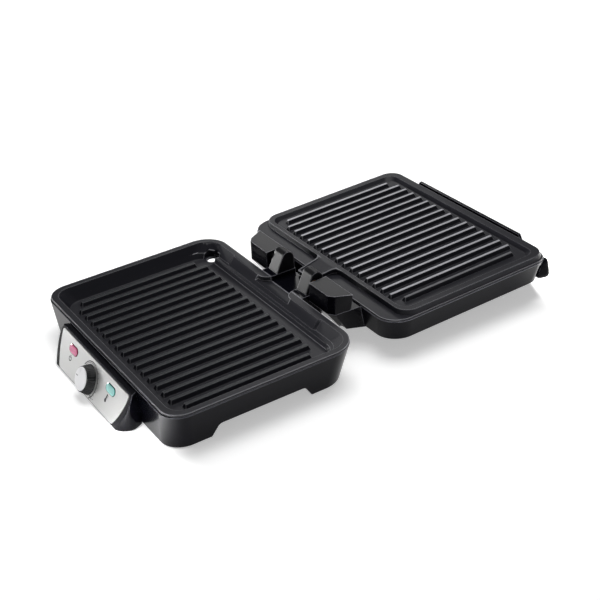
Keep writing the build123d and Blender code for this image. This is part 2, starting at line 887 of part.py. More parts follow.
def make_knob():
    """Ribbed skirt of the knob with a bore for the shaft."""
    start = panel_proud + knob_gap
    skirt = Pos(0, 0, start + knob_height / 2) * Cone(knob_radius, knob_top_radius, knob_height)
    groove_radius = (knob_radius + knob_top_radius) / 2 + knob_flute_radius / 2
    lean_out = math.degrees(math.atan2(knob_radius - knob_top_radius, knob_height))
    groove = Pos(groove_radius, 0, start + knob_height / 2) * Rot(0, -lean_out, 0)
    groove *= Cylinder(knob_flute_radius, knob_flute_length)
    skirt -= [Rot(0, 0, 360.0 / knob_flute_count * index) * groove for index in range(knob_flute_count)]
    skirt -= Pos(0, 0, start + knob_height) * Cylinder(cap_radius + pin_clearance, 2 * cap_sunk)
    skirt -= Pos(0, 0, start) * Cylinder(shaft_radius, 2 * knob_bore_depth)
    return panel.location * Pos(0, -knob_drop, 0) * skirt


def make_knob_cap():
    """Silver disc on the knob with a pointer groove."""
    seat = panel_proud + knob_gap + knob_height - cap_sunk
    disc = Pos(0, 0, seat + cap_thickness / 2) * Cylinder(cap_radius, cap_thickness)
    reach = Pos(cap_radius - pointer_length / 2, 0, seat + cap_thickness)
    groove = Rot(0, 0, pointer_angle) * reach * Box(pointer_length - 1, pointer_width, 2 * pointer_depth)
    return panel.location * Pos(0, -knob_drop, 0) * (disc - groove)


def make_gland():
    """Cord inlet in the back wall, a flanged sleeve."""
    wall_y = housing_back_y - housing_draw(gland_z)
    inner_end = wall_y - gland_inside
    outer_end = wall_y + gland_flange_thickness
    flange = long_rod(gland_flange_radius, gland_x, wall_y - housing_wall, outer_end, gland_z)
    flange -= housing_outline(0, foot_z, housing_rim_z)
    sleeve = long_rod(gland_radius, gland_x, inner_end, outer_end, gland_z)
    return flange + sleeve - long_rod(gland_bore, gland_x, inner_end - 1, outer_end + 1, gland_z)


def make_fuse():
    """Thermal fuse clipped under the middle of the lower plate."""
    z = plate_bottom_z - seat_gap - fuse_radius
    return cross_rod(fuse_radius, -fuse_length / 2, fuse_length / 2, fuse_y, z)


def make_bezel_screws():
    """Screws from inside the housing into the bezel's bosses."""
    seat_y = bezel_screw_seat_y()
    screws = []
    for x in (-bezel_screw_x, bezel_screw_x):
        head = long_rod(screw_head_radius, x, seat_y, seat_y + screw_head_height, bezel_screw_z)
        screws.append(head + long_rod(screw_radius, x, bezel_screw_end_y(), seat_y, bezel_screw_z))
    return screws


def bezel_screw_end_y():
    """Y of the tips of the bezel screws."""
    return housing_front_y + housing_draw(bezel_screw_z, housing_front_draft) - bezel_screw_bite


def make_terminal_block():
    """Screw terminal strip on the housing floor by the inlet."""
    middle_x = gland_x + terminal_offset
    block = span(
        (middle_x - terminal_length / 2, middle_x + terminal_length / 2),
        (terminal_y - terminal_width / 2, terminal_y + terminal_width / 2),
        (floor_top_z, floor_top_z + terminal_height),
    )
    for index in range(terminal_ways):
        x = middle_x + (index - (terminal_ways - 1) / 2) * terminal_length / terminal_ways
        well_z = floor_top_z + terminal_height / 3
        block -= post(screw_radius, x, terminal_y, well_z, floor_top_z + terminal_height + 1)
    return block


def make_lid_plate():
    """Proud plate with a border, ribs, flange and drain tongue."""
    flange = drafted(
        rounded(flange_half_width, flange_near_y, flange_far_y, flange_near_corner, flange_under_z, flange_corner),
        rounded(flange_half_width, flange_near_y, flange_far_y, flange_near_corner, flange_z, flange_corner),
    )
    block_half = border_half_width + border_flare
    block_near_y = border_near_y - border_flare
    block_far_y = border_far_y + border_flare
    block = drafted(
        rounded(block_half, block_near_y, block_far_y, border_corner, flange_z - 0.5),
        rounded(border_half_width, border_near_y, border_far_y, border_corner, border_z),
    )
    inner_near_y, inner_far_y = border_inner_near_y, border_inner_far_y
    under = slab(border_inner_half, inner_near_y, inner_far_y, border_inner_corner, flange_under_z, flange_z)
    hollow = drafted(
        rounded(
            border_inner_half - valley_slope,
            border_inner_near_y + valley_slope / 2,
            border_inner_far_y - valley_slope,
            border_inner_corner,
            lid_valley_z,
        ),
        rounded(border_inner_half, inner_near_y, inner_far_y, border_inner_corner, border_z),
    )
    body = flange + block + under - hollow
    widths = (lid_rib_top_width, lid_rib_foot_width)
    body += ribs(lid_rib_pitch, lid_rib_near_y, lid_rib_far_y, lid_valley_z, *widths)
    body += tongue()
    for x, y in lid_screw_places():
        body += post(boss_radius, x, y, lid_floor_z, flange_under_z + 0.5)
        body -= post(screw_hole_radius, x, y, lid_floor_z - 1, flange_under_z + 1)
    return body


def tongue():
    """Sloping spout between the hinges, with rounded roots and a lip round its edge."""
    right = [
        (spout_mouth_half, border_inner_near_y),
        (spout_mouth_half, border_near_y),
        (tongue_half_width, border_near_y),
        (tongue_end_half, tongue_end_y),
    ]
    left = [(-x, y) for x, y in reversed(right)]
    plan = cornered(right + left, (0, 0, tongue_turn, tongue_lip_width, tongue_lip_width, tongue_turn, 0, 0))
    low_z = border_z - tongue_drop
    reach = spout_mouth_half + 1

    def sheet(outline, rise):
        """The part of an upright outline between the tongue's two sloping faces, its top raised by rise."""
        points = [
            (border_inner_near_y, border_z + rise),
            (tongue_start_y, border_z + rise),
            (tongue_end_y, low_z + rise),
            (tongue_end_y, low_z - tongue_thickness),
            (tongue_start_y, border_z - 2 * tongue_thickness),
            (border_inner_near_y, border_z - 2 * tongue_thickness),
        ]
        upright = extrude(Plane.XY.offset(flange_under_z - tongue_thickness) * outline, 3 * -border_z)
        return upright & side_profile(points, -reach, reach)

    inner = offset(plan, -tongue_lip_width)
    lip = sheet(plan - inner, tongue_lip)
    lip &= span((-reach, reach), (0, tongue_start_y), (low_z - 2 * tongue_thickness, 0))
    return sheet(plan, 0) + lip


def lid_outline(inset, low_z, high_z):
    """The drafted body of the lid housing, drawn in by inset."""
    def outline(z):
        drawn_in = inset + lid_draw(z)
        near_y = lid_near_y + inset + lid_draw(z, lid_near_draft)
        far_y = lid_far_y - drawn_in
        return rounded(lid_half_width - drawn_in, near_y, far_y, lid_near_corner - inset, z, lid_corner - inset)
    return drafted(outline(low_z), outline(high_z))


def arm_loft(low, high, inset, low_z, high_z):
    """A block between two outlines of a right arm, each given by its outer points from front to back."""
    def outline(points, z):
        front_y, back_y = points[0][1], points[-1][1]
        plan = make_face(Polyline((arm_inner_x, front_y), *points, (arm_inner_x, back_y), close=True))
        if inset > 0:
            plan = offset(plan, -inset, kind=Kind.INTERSECTION)
        return Plane.XY.offset(z) * plan
    return drafted(outline(low, low_z), outline(high, high_z))


def slot():
    """The slot in an arm's inner wall that lets the lid float on its pin."""
    length = (-float_travel - slot_end, slot_end)
    return span((arm_inner_x - 1, arm_inner_x + arm_wall + 0.1), (-slot_half, slot_half), length)


def make_arm():
    """Right arm of the lid housing, open under its cover, with posts for the cover's screws."""
    low = [arm_low_front, arm_low_bevel, (arm_low_root_x, arm_root_y)]
    high = [parting_front, parting_bevel, (parting_root_x, arm_root_y)]
    outer = arm_loft(low, high, 0, lid_bottom_z, arm_parting_z)
    inner = arm_loft(low, high, arm_wall, lid_bottom_z + arm_wall, arm_parting_z + 0.01)
    roof_z = (arm_parting_z - arm_wall, arm_parting_z)
    roof = span((arm_inner_x, parting_root_x), (arm_back_y, arm_root_y), roof_z)
    body = outer - inner + (roof & outer)
    for x in arm_post_x:
        body += post(arm_post_radius, x, arm_post_y, lid_bottom_z, arm_parting_z) & outer
        body -= post(screw_hole_radius, x, arm_post_y, lid_bottom_z - 1, arm_parting_z + 1)
        body -= post(screw_head_radius + head_clearance, x, arm_post_y, lid_bottom_z - 1, arm_screw_seat_z)
    return body - slot()


def make_lid_housing():
    """Glossy lid shell with its two arms, front lip and handle posts."""
    shell = lid_outline(0, lid_bottom_z, lid_rim_z)
    shell = fillet(shell.faces().sort_by(Axis.Z)[0].edges(), lid_bottom_round)
    cavity = lid_outline(lid_wall, lid_floor_z, lid_rim_z + 0.01)
    shell -= cavity
    shell += both(make_arm() - cavity)
    shell += make_lip()
    screw_z = handle_screw_z()
    seat_y = handle_screw_seat_y()
    for x in (-handle_post_x, handle_post_x):
        stub = span(
            (x - handle_post_width / 2, x + handle_post_width / 2),
            (lid_far_y - lid_draft - 1, handle_middle_y),
            (handle_post_bottom_z, handle_post_top_z),
        )
        shell += stub - cavity - make_handle_bar() - beyond_handle()
        shell += long_rod(seat_boss_radius - 0.6, x, seat_y, seat_y + seat_boss_rise + 0.5, screw_z)
        shell -= long_rod(screw_hole_radius, x, seat_y - 1, seat_y + handle_screw_bite, screw_z)
    for x, y in lid_screw_places():
        shell -= post(screw_hole_radius, x, y, lid_bottom_z - 1, lid_floor_z + 1)
    return shell


def make_lip():
    """Raised lip along the far wall of the lid, with sloped ends."""
    low_z = lid_rim_z - lip_thickness
    low_half = lip_half_length + (lip_top_z - low_z) / lip_slope
    right = [(low_half, low_z), (lip_half_length, lip_top_z)]
    left = [(-x, z) for x, z in reversed(right)]
    outline = make_face(Polyline(*right, *left, close=True))
    near_y = flange_far_y + seat_gap
    lip = Pos(0, near_y + lip_thickness, 0) * extrude(Plane.XZ * outline, lip_thickness)
    return lip


def handle_screw_seat_y():
    """Y of the seat inside the lid's far wall for the handle screws."""
    return lid_far_y - lid_draw(handle_screw_z()) - lid_wall - seat_boss_rise


def handle_path():
    """The bowed centre line of the handle."""
    return ThreePointArc(
        (-handle_half_span, handle_end_y, handle_end_z),
        (0, handle_middle_y, handle_middle_z),
        (handle_half_span, handle_end_y, handle_end_z),
    )


def handle_centre(x):
    """Y and Z of the handle's centre line at x."""
    sagitta = handle_bow * math.sqrt(2)
    radius = (handle_half_span ** 2 + sagitta ** 2) / (2 * sagitta)
    drop = (radius - math.sqrt(radius ** 2 - x ** 2)) / math.sqrt(2)
    return handle_middle_y - drop, handle_middle_z + drop


def make_handle_bar():
    """The handle bar, swept along its bow, with round ends cut to fit the lid's corners."""
    path = handle_path()
    frame = Plane(origin=path @ 0, x_dir=(0, 0, 1), z_dir=path % 0)
    bar = sweep(frame * RectangleRounded(handle_depth, handle_thickness, handle_round), path)
    ends = bar.faces().sort_by(Axis.X)
    bar = fillet(ends[0].edges() + ends[-1].edges(), handle_end_round)
    return bar - lid_outline(-handle_gap, lid_bottom_z, lid_rim_z)


def beyond_handle():
    """A thick skin over the far side of the bar, used to trim its posts."""
    path = handle_path()
    frame = Plane(origin=path @ 0, x_dir=(0, 0, 1), z_dir=path % 0)
    section = frame * (Pos(0, -handle_thickness) * Rectangle(handle_depth * 3, handle_thickness * 2))
    return sweep(section, path)


def handle_screw_z():
    """Height of the handle screws."""
    return (handle_post_top_z + handle_post_bottom_z) / 2


def make_handle():
    """Handle bar with screw holes and seats for its rests."""
    bar = make_handle_bar()
    seat_y = handle_screw_seat_y()
    for side in (-1, 1):
        hole_x = side * handle_post_x
        bar -= long_rod(screw_radius, hole_x, seat_y, seat_y + handle_screw_bite, handle_screw_z())
        x, y, top = rest_seat(side)
        bar -= post(rest_radius, x, y, top - 20, top)
    return bar


def rest_seat(side):
    """Centre and top of the seat of one rest under the handle."""
    y, z = handle_centre(rest_x)
    return side * rest_x, y, z - handle_depth / 2 + rest_seat_depth


def make_handle_rests():
    """Two rubber rests with flat soles on the table, on which the opened lid stands."""
    rests = []
    for side in (-1, 1):
        x, y, top = rest_seat(side)
        stub = tipped(post(rest_radius - pin_clearance, x, y, top - 15, top))
        rests.append(stub - span((-200, 200), (0, 400), (-40, 0)))
    return rests


def make_handle_screws():
    """Screws from inside the lid through its posts into the handle."""
    screws = []
    z = handle_screw_z()
    seat_y = handle_screw_seat_y()
    for side in (-1, 1):
        x = side * handle_post_x
        head = long_rod(screw_head_radius, x, seat_y - screw_head_height, seat_y, z)
        screws.append(head + long_rod(screw_radius - pin_clearance, x, seat_y, seat_y + handle_screw_bite, z))
    return screws


def make_arm_cover():
    """Right arm cover, a hollow block over the hinge pin with two screw bosses."""
    low = [parting_front, parting_bevel, (parting_back_x, arm_back_y)]
    high = [cover_top_front, cover_top_bevel, (cover_top_back_x, arm_back_y)]
    outer = arm_loft(low, high, 0, arm_parting_z, arm_top_z)
    inner = arm_loft(low, high, arm_wall, arm_parting_z - 0.01, arm_top_z - arm_wall)
    body = outer - inner
    for x in arm_post_x:
        body += post(arm_boss_radius, x, arm_post_y, arm_parting_z, arm_top_z - arm_wall / 2) & outer
        body -= post(screw_radius, x, arm_post_y, arm_parting_z - 1, arm_parting_z + arm_screw_bite)
    return body - slot()


def make_arm_cover_screws():
    """Screws from under the arms into their covers."""
    length = arm_parting_z + arm_screw_bite - arm_screw_seat_z
    return [screw(side * x, arm_post_y, arm_screw_seat_z, length) for side in (-1, 1) for x in arm_post_x]


def tipped(solid):
    """Lid piece at its place on the opened lid."""
    return Pos(0, 0, hinge_z) * Rot(lid_tilt, 0, 0) * solid


def assemble():
    """Every node of the grill by name, base first."""
    element_z = plate_bottom_z - seat_gap - element_radius
    lid_element_z = flange_under_z - seat_gap - element_radius
    cover_z = floor_under_z - cover_thickness
    dish_front_y = tray_floor_front_y + reflector_margin
    dish_back_y = tray_floor_back_y - reflector_margin
    lid_dish_near_y = border_inner_near_y + lid_reflector_margin
    lid_dish_far_y = border_inner_far_y - lid_reflector_margin
    lid_dish_z = lid_floor_z + lid_reflector_rise
    saddle_screw_length = deck_top_z - deck_ceiling_z + saddle_screw_bite
    nodes = {
        "lower_plate": make_lower_plate(),
        "base_housing": make_base_housing(),
        "base_bottom_cover": make_bottom_cover(),
        "lower_heating_element": element(dish_front_y, dish_back_y, element_z),
        "lower_reflector": reflector(dish_front_y, dish_back_y, floor_top_z, plate_bottom_z - seat_gap),
        "plate_screws": [screw(x, y, floor_under_z, plate_screw_length) for x, y in plate_screw_places()],
        "cover_screws": [screw(x, y, cover_z, cover_screw_length) for x, y in cover_screw_places()],
        "foot_pads": make_foot_pads(),
        "control_bezel": make_bezel(),
        "fascia_plate": make_fascia(),
        "power_lens": make_lens(-lens_x),
        "ready_lens": make_lens(lens_x),
        "power_lamp": make_lamp(-lens_x),
        "ready_lamp": make_lamp(lens_x),
        "thermostat_body": make_thermostat(),
        "thermostat_shaft": make_shaft(),
        "knob_skirt": make_knob(),
        "knob_cap": make_knob_cap(),
        "hinge_saddle_right": make_saddle(),
        "hinge_saddle_left": flipped(make_saddle()),
        "hinge_bush_right": make_bush(),
        "hinge_bush_left": flipped(make_bush()),
        "hinge_pin_right": make_pin(),
        "hinge_pin_left": flipped(make_pin()),
        "bezel_screws": make_bezel_screws(),
        "saddle_screws": [screw(x, y, deck_ceiling_z, saddle_screw_length) for x, y in saddle_screw_places()],
        "handle_rests": make_handle_rests(),
        "thermal_fuse": make_fuse(),
        "cord_gland": make_gland(),
        "terminal_block": make_terminal_block(),
    }
    lid_nodes = {
        "lid_plate": make_lid_plate(),
        "lid_housing": make_lid_housing(),
        "arm_cover_right": make_arm_cover(),
        "arm_cover_left": flipped(make_arm_cover()),
        "lid_heating_element": element(lid_dish_far_y, lid_dish_near_y, lid_element_z),
        "lid_reflector": reflector(lid_dish_near_y, lid_dish_far_y, lid_dish_z, flange_under_z - seat_gap),
        "lid_plate_screws": [screw(x, y, lid_bottom_z, lid_screw_length) for x, y in lid_screw_places()],
        "handle": make_handle(),
        "handle_screws": make_handle_screws(),
        "arm_cover_screws": make_arm_cover_screws(),
    }
    for name, solid in lid_nodes.items():
        if isinstance(solid, list):
            nodes[name] = [tipped(piece) for piece in solid]
        else:
            nodes[name] = tipped(solid)
    return nodes


def write_parts():
    """Centre the grill over the origin and write one STEP file per node."""
    nodes = assemble()
    solids = []
    for solid in nodes.values():
        solids.extend(solid if isinstance(solid, list) else [solid])
    box = Compound(children=[Part(s.wrapped) for s in solids]).bounding_box()
    shift = -(box.min.Y + box.max.Y) / 2
    print("hinge axis y", round(shift, 4), "box", box.min, box.max)
    os.makedirs("parts", exist_ok=True)
    for name, solid in nodes.items():
        pieces = solid if isinstance(solid, list) else [solid]
        moved = [Pos(0, shift, 0) * piece for piece in pieces]
        shape = moved[0] if len(moved) == 1 else Compound(children=moved)
        export_step(shape, os.path.join("parts", name + ".step"))


write_parts()
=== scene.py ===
import json
import logging
import math
from dataclasses import dataclass, field
from enum import Enum
from typing import Callable

import bmesh
import bpy
from mathutils import Matrix, Vector

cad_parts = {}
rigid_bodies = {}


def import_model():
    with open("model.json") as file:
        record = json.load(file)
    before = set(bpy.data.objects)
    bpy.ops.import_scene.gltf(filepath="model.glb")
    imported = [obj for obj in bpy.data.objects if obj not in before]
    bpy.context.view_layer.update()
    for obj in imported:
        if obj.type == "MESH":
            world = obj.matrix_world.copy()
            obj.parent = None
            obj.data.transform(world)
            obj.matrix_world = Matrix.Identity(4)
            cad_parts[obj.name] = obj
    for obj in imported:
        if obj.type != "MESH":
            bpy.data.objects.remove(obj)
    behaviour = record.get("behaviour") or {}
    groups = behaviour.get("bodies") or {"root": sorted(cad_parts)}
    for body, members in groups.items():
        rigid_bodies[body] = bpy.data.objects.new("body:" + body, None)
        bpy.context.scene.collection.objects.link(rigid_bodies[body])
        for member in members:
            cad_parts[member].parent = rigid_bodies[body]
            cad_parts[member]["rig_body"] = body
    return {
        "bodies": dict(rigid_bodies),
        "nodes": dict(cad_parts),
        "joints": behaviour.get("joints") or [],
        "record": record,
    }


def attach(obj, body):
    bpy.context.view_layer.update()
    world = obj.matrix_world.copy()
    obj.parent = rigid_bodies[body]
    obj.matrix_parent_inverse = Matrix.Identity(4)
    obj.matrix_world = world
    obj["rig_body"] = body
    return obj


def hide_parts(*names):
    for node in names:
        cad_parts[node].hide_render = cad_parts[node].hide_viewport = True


LOG = logging.getLogger("contact_grill")
Colour = tuple[float, float, float, float]
Point = tuple[float, float, float]
Verts = list[bmesh.types.BMVert]
Edges = list[bmesh.types.BMEdge]
MM = 0.001
WHITE: Colour = (1.0, 1.0, 1.0, 1.0)
ACROSS = Vector((1.0, 0.0, 0.0))

# Sockets of a Mix node for colours, by number, because their names repeat
MIX_FACTOR = 0
MIX_FROM = 6
MIX_TO = 7
MIX_RESULT = 2

# The metallic share from which a finish counts as metal and keeps the shader's own refraction
METAL = 0.5
# How many finer layers the noise of the slow drift has, and that of the grain
DRIFT_DETAIL = 3.0
GRAIN_DETAIL = 2.0

# Rays shot into the piece meet nothing under a flat face, and meet the next face near an edge. The painted
# edge highlight shows where fewer than the first share of them run free, and is full at the second
EDGE_HIGHLIGHT_RAYS = 8
EDGE_HIGHLIGHT_BEGINS = 0.96
EDGE_HIGHLIGHT_FULL = 0.72


def linear(hex_colour: str) -> Colour:
    """Turns an sRGB hex value into a linear colour, by the curve that the sRGB standard gives.

    Args:
        hex_colour: The colour, as a hash and six hex digits.

    Returns:
        Red, green and blue, with an alpha of 1.
    """
    values = [int(hex_colour[i:i + 2], 16) / 255 for i in (1, 3, 5)]
    return tuple(v / 12.92 if v <= 0.04045 else ((v + 0.055) / 1.055) ** 2.4 for v in values) + (1.0,)


def add_node(tree: bpy.types.NodeTree, kind: str, settings: dict, links: dict) -> bpy.types.Node:
    """Adds one shader node.

    Args:
        tree: The node tree of a material or of the world.
        kind: The node's type name.
        settings: Properties by name, and socket values by socket name or number.
        links: Output sockets that feed inputs, by the input's name or number.

    Returns:
        The new node.
    """
    node = tree.nodes.new(kind)
    for name, value in settings.items():
        if isinstance(name, str) and hasattr(node, name):
            setattr(node, name, value)
        else:
            node.inputs[name].default_value = value
    for name, output in links.items():
        tree.links.new(output, node.inputs[name])
    return node


class Look(Enum):
    """How much the roughness of a surface varies, from its smoothest place to its roughest."""

    EVEN = 0.0
    HANDLED = 0.06
    MOTTLED = 0.12


@dataclass(frozen=True)
class Finish:
    """A surface: its colour, gloss and grain.

    The colour drifts to a second one across the piece, from handling and from how the coating or the melt
    settled, and the roughness drifts with it. The grain is a fine bump. The stretch scales both patterns
    along each axis, so that a small number draws them out. Where edge_mm is given, a highlight is painted
    on the outward edges as a lighter colour.
    """

    name: str
    colour: str
    drift: str
    roughness: float
    metallic: float = 0.0
    refraction: float = 1.5
    coat: float = 0.0
    coat_roughness: float = 0.1
    look: Look = Look.EVEN
    grain_mm: float = 0.8
    grain_depth_mm: float = 0.0
    drift_mm: float = 60.0
    stretch: tuple[float, float, float] = (1.0, 1.0, 1.0)
    # The width and the colour of a highlight painted on the outward edges
    edge_mm: float = 0.0
    edge_highlight_colour: str = "#808084"

    def paint_edge_highlight(self, tree: bpy.types.NodeTree, colour: bpy.types.NodeSocket) -> bpy.types.NodeSocket:
        """Paints a highlight on the outward edges, as a lighter colour.

        Args:
            tree: The material's node tree.
            colour: The surface's colour away from its edges.

        Returns:
            The colour with its painted edge highlights.
        """
        inside = add_node(
            tree, "ShaderNodeAmbientOcclusion",
            {"inside": True, "only_local": True, "samples": EDGE_HIGHLIGHT_RAYS, "Distance": self.edge_mm * MM}, {},
        )
        edge_light = add_node(
            tree, "ShaderNodeMapRange",
            {"From Min": EDGE_HIGHLIGHT_BEGINS, "From Max": EDGE_HIGHLIGHT_FULL, "To Min": 0.0, "To Max": 1.0},
            {"Value": inside.outputs["AO"]},
        )
        mix = add_node(
            tree, "ShaderNodeMix", {"data_type": "RGBA", MIX_TO: linear(self.edge_highlight_colour)},
            {MIX_FACTOR: edge_light.outputs["Result"], MIX_FROM: colour},
        )
        return mix.outputs[MIX_RESULT]

    def material(self) -> bpy.types.Material:
        """Makes the procedural material.

        Returns:
            The material, with its colour, roughness and bump from noise on Object coordinates.
        """
        made = bpy.data.materials.new(self.name)
        made.use_nodes = True
        tree = made.node_tree
        shader = tree.nodes["Principled BSDF"]
        shader.inputs["Metallic"].default_value = self.metallic
        if self.metallic < METAL:
            shader.inputs["IOR"].default_value = self.refraction
        shader.inputs["Coat Weight"].default_value = self.coat
        shader.inputs["Coat Roughness"].default_value = self.coat_roughness
        place = add_node(tree, "ShaderNodeTexCoord", {}, {})
        turned = add_node(
            tree, "ShaderNodeMapping", {"Scale": self.stretch}, {"Vector": place.outputs["Object"]}
        )
        slow = add_node(
            tree, "ShaderNodeTexNoise", {"Scale": 1.0 / (self.drift_mm * MM), "Detail": DRIFT_DETAIL},
            {"Vector": turned.outputs["Vector"]},
        )
        mix = add_node(
            tree, "ShaderNodeMix",
            {"data_type": "RGBA", MIX_FROM: linear(self.colour), MIX_TO: linear(self.drift)},
            {MIX_FACTOR: slow.outputs["Fac"]},
        )
        colour = mix.outputs[MIX_RESULT]
        # A highlight painted as a lighter colour on the outward edges
        if self.edge_mm > 0:
            colour = self.paint_edge_highlight(tree, colour)
        tree.links.new(colour, shader.inputs["Base Color"])
        spread = self.look.value / 2
        rough = add_node(
            tree, "ShaderNodeMapRange",
            {"To Min": self.roughness - spread, "To Max": self.roughness + spread},
            {"Value": slow.outputs["Fac"]},
        )
        tree.links.new(rough.outputs["Result"], shader.inputs["Roughness"])
        if self.grain_depth_mm > 0:
            grain = add_node(
                tree, "ShaderNodeTexNoise", {"Scale": 1.0 / (self.grain_mm * MM), "Detail": GRAIN_DETAIL},
                {"Vector": turned.outputs["Vector"]},
            )
            bump = add_node(
                tree, "ShaderNodeBump", {"Strength": 1.0, "Distance": self.grain_depth_mm * MM},
                {"Height": grain.outputs["Fac"]},
            )
            tree.links.new(bump.outputs["Normal"], shader.inputs["Normal"])
        return made


# PTFE non-stick sprayed on die-cast aluminium: near black with a soft sheen, a fine orange-peel grain and a
# highlight painted along its edges. PTFE bends light very little, so it keeps its black under a bright lamp
NONSTICK = Finish(
    "sprayed_nonstick_coating", "#19191f", "#1f1f26", 0.38, refraction=1.3, look=Look.HANDLED, grain_mm=1.0,
    grain_depth_mm=0.012, edge_mm=0.8, edge_highlight_colour="#8e8e93",
)
# The same coating on the flat tops of the lid's ribs, rubbed by the bread; its pale grey is a painted sheen
RIB_LID_PAINTED_SHEEN = Finish(
    "rubbed_coating_bright", "#aeaeb3", "#9a9aa0", 0.4, metallic=0.3, look=Look.HANDLED, drift_mm=25
)
# The same coating on the lid's outermost rib, which the bread hardly touches: a middle grey, a weaker painted
# sheen
RIB_OUTER_PAINTED_SHEEN = Finish(
    "rubbed_coating_dim", "#6c6c70", "#5c5c60", 0.4, refraction=1.35, look=Look.HANDLED, drift_mm=25
)
# The same coating on the lower ribs, hardly worn: a dark grey, a faint painted sheen, painted edge highlights
RIB_BASE_PAINTED_SHEEN = Finish(
    "rubbed_coating_grey", "#25272b", "#1f2124", 0.36, refraction=1.3, look=Look.HANDLED, drift_mm=25,
    edge_mm=0.7, edge_highlight_colour="#6c7074",
)
# Polished ABS: deep blue-black with a clear but weak reflection, and a highlight painted as a thin bright
# line along each edge. Its refraction is under that of real ABS, which would turn it grey
GLOSS_BLACK = Finish(
    "polished_abs_black", "#07070d", "#0a0a10", 0.18, refraction=1.2, look=Look.HANDLED, edge_mm=0.6,
    edge_highlight_colour="#7c7c84",
)
# Fine satin ABS of the saddles: black with a soft sheen along the crowns and a highlight painted on its edges
SATIN_BLACK = Finish(
    "satin_abs_black", "#101013", "#141417", 0.34, refraction=1.26, look=Look.HANDLED, edge_mm=0.7,
    edge_highlight_colour="#a0a0a6",
)
# Spark-eroded ABS on top of the arm covers: near black with a hint of violet, a fine grain, a broad sheen
# and a highlight painted on its edges
SATIN_GREY = Finish(
    "satin_abs_grey", "#121216", "#0f0f13", 0.33, refraction=1.3, look=Look.HANDLED, grain_mm=0.7,
    grain_depth_mm=0.01, edge_mm=1.0, edge_highlight_colour="#b0b0b6",
)
# Silver lacquer on a brushed aluminium plate: pale, with fine lines across the panel under the lacquer
SILVER_PLATE = Finish(
    "lacquered_brushed_aluminium", "#c2c2c1", "#bbbbba", 0.36, metallic=0.5, coat=0.1, grain_mm=0.6,
    grain_depth_mm=0.003, stretch=(0.06, 1.0, 1.0), drift_mm=90,
)
# Moulded phenolic of the knob's skirt: black and slightly dull
KNOB_BLACK = Finish("moulded_phenolic_black", "#08080a", "#0b0b0d", 0.3, refraction=1.3, look=Look.HANDLED)
# Pearl lacquer of the knob's cap: nearly white, under a thin clear coat
CAP_SILVER = Finish("pearl_lacquer_silver", "#e2e2e4", "#d8d8da", 0.3, metallic=0.2, coat=0.3)
# Screen-printing ink: flat and nearly black
INK = Finish("screen_print_ink", "#101012", "#161618", 0.5, refraction=1.35)
# Tinted acrylic of the lights: pale in the middle, where the moulded light guide shows, under a glassy coat
RED_CORE = Finish(
    "tinted_acrylic_red", "#d45c8e", "#b93a6c", 0.16, coat=0.6, coat_roughness=0.05, drift_mm=6
)
GREEN_CORE = Finish(
    "tinted_acrylic_green", "#8fc6c0", "#5fa8a2", 0.16, coat=0.6, coat_roughness=0.05, drift_mm=6
)
# The same acrylic on the sloping rim, darker: painted shade of the well behind it
RED_RIM_PAINTED_SHADE = Finish("tinted_acrylic_dark_red", "#7c1230", "#5c0a22", 0.14, coat=0.6, coat_roughness=0.05)
GREEN_RIM_PAINTED_SHADE = Finish("tinted_acrylic_dark_green", "#125a55", "#0c4340", 0.14, coat=0.6, coat_roughness=0.05)
# Zinc plated steel of screws, pins, the knob's shaft and the bottom cover: bright grey and slightly cloudy
ZINC_STEEL = Finish(
    "zinc_plated_steel", "#a8a9ab", "#8f9194", 0.32, metallic=1.0, look=Look.MOTTLED, drift_mm=12
)
# Oxidised steel sheath of the heating elements: brown-black, dull and cloudy
SHEATH = Finish(
    "oxidised_steel_sheath", "#2e2a28", "#3a3431", 0.5, metallic=0.8, look=Look.MOTTLED, drift_mm=15
)
# Rolled aluminium of the reflectors: bright, with faint streaks from the rolling
REFLECTOR = Finish(
    "rolled_aluminium", "#c9cacc", "#bdbec0", 0.22, metallic=1.0, look=Look.HANDLED, stretch=(0.1, 1.0, 1.0)
)
# Sintered bronze of the bushes: warm brown, half dull and speckled by its pores
BRONZE = Finish(
    "sintered_bronze", "#a9793f", "#946731", 0.42, metallic=1.0, look=Look.MOTTLED, drift_mm=4
)
# Moulded rubber of the feet, the rests and the gland: flat black with a fine grain
RUBBER = Finish("moulded_rubber", "#121212", "#181818", 0.75, grain_mm=0.8, grain_depth_mm=0.02)
# Moulded bakelite of the thermostat's body: dark brown and cloudy, with a half gloss
BAKELITE = Finish("moulded_bakelite", "#38200f", "#2c180b", 0.4, look=Look.MOTTLED, drift_mm=10)
# Glazed porcelain of the fuse and the terminal block: cream white under a glassy glaze
PORCELAIN = Finish("glazed_porcelain", "#d9d5c9", "#cfcabc", 0.18, coat=0.4)
# Moulded polyamide of the lamp holders: pale cream with a soft sheen
PALE_PLASTIC = Finish("moulded_polyamide_pale", "#b5b0a0", "#a8a392", 0.45)
# Seamless paper under the object: white and dull
PAPER = Finish("matt_paper_floor", "#f4f4f4", "#f1f1f1", 0.9, drift_mm=900)


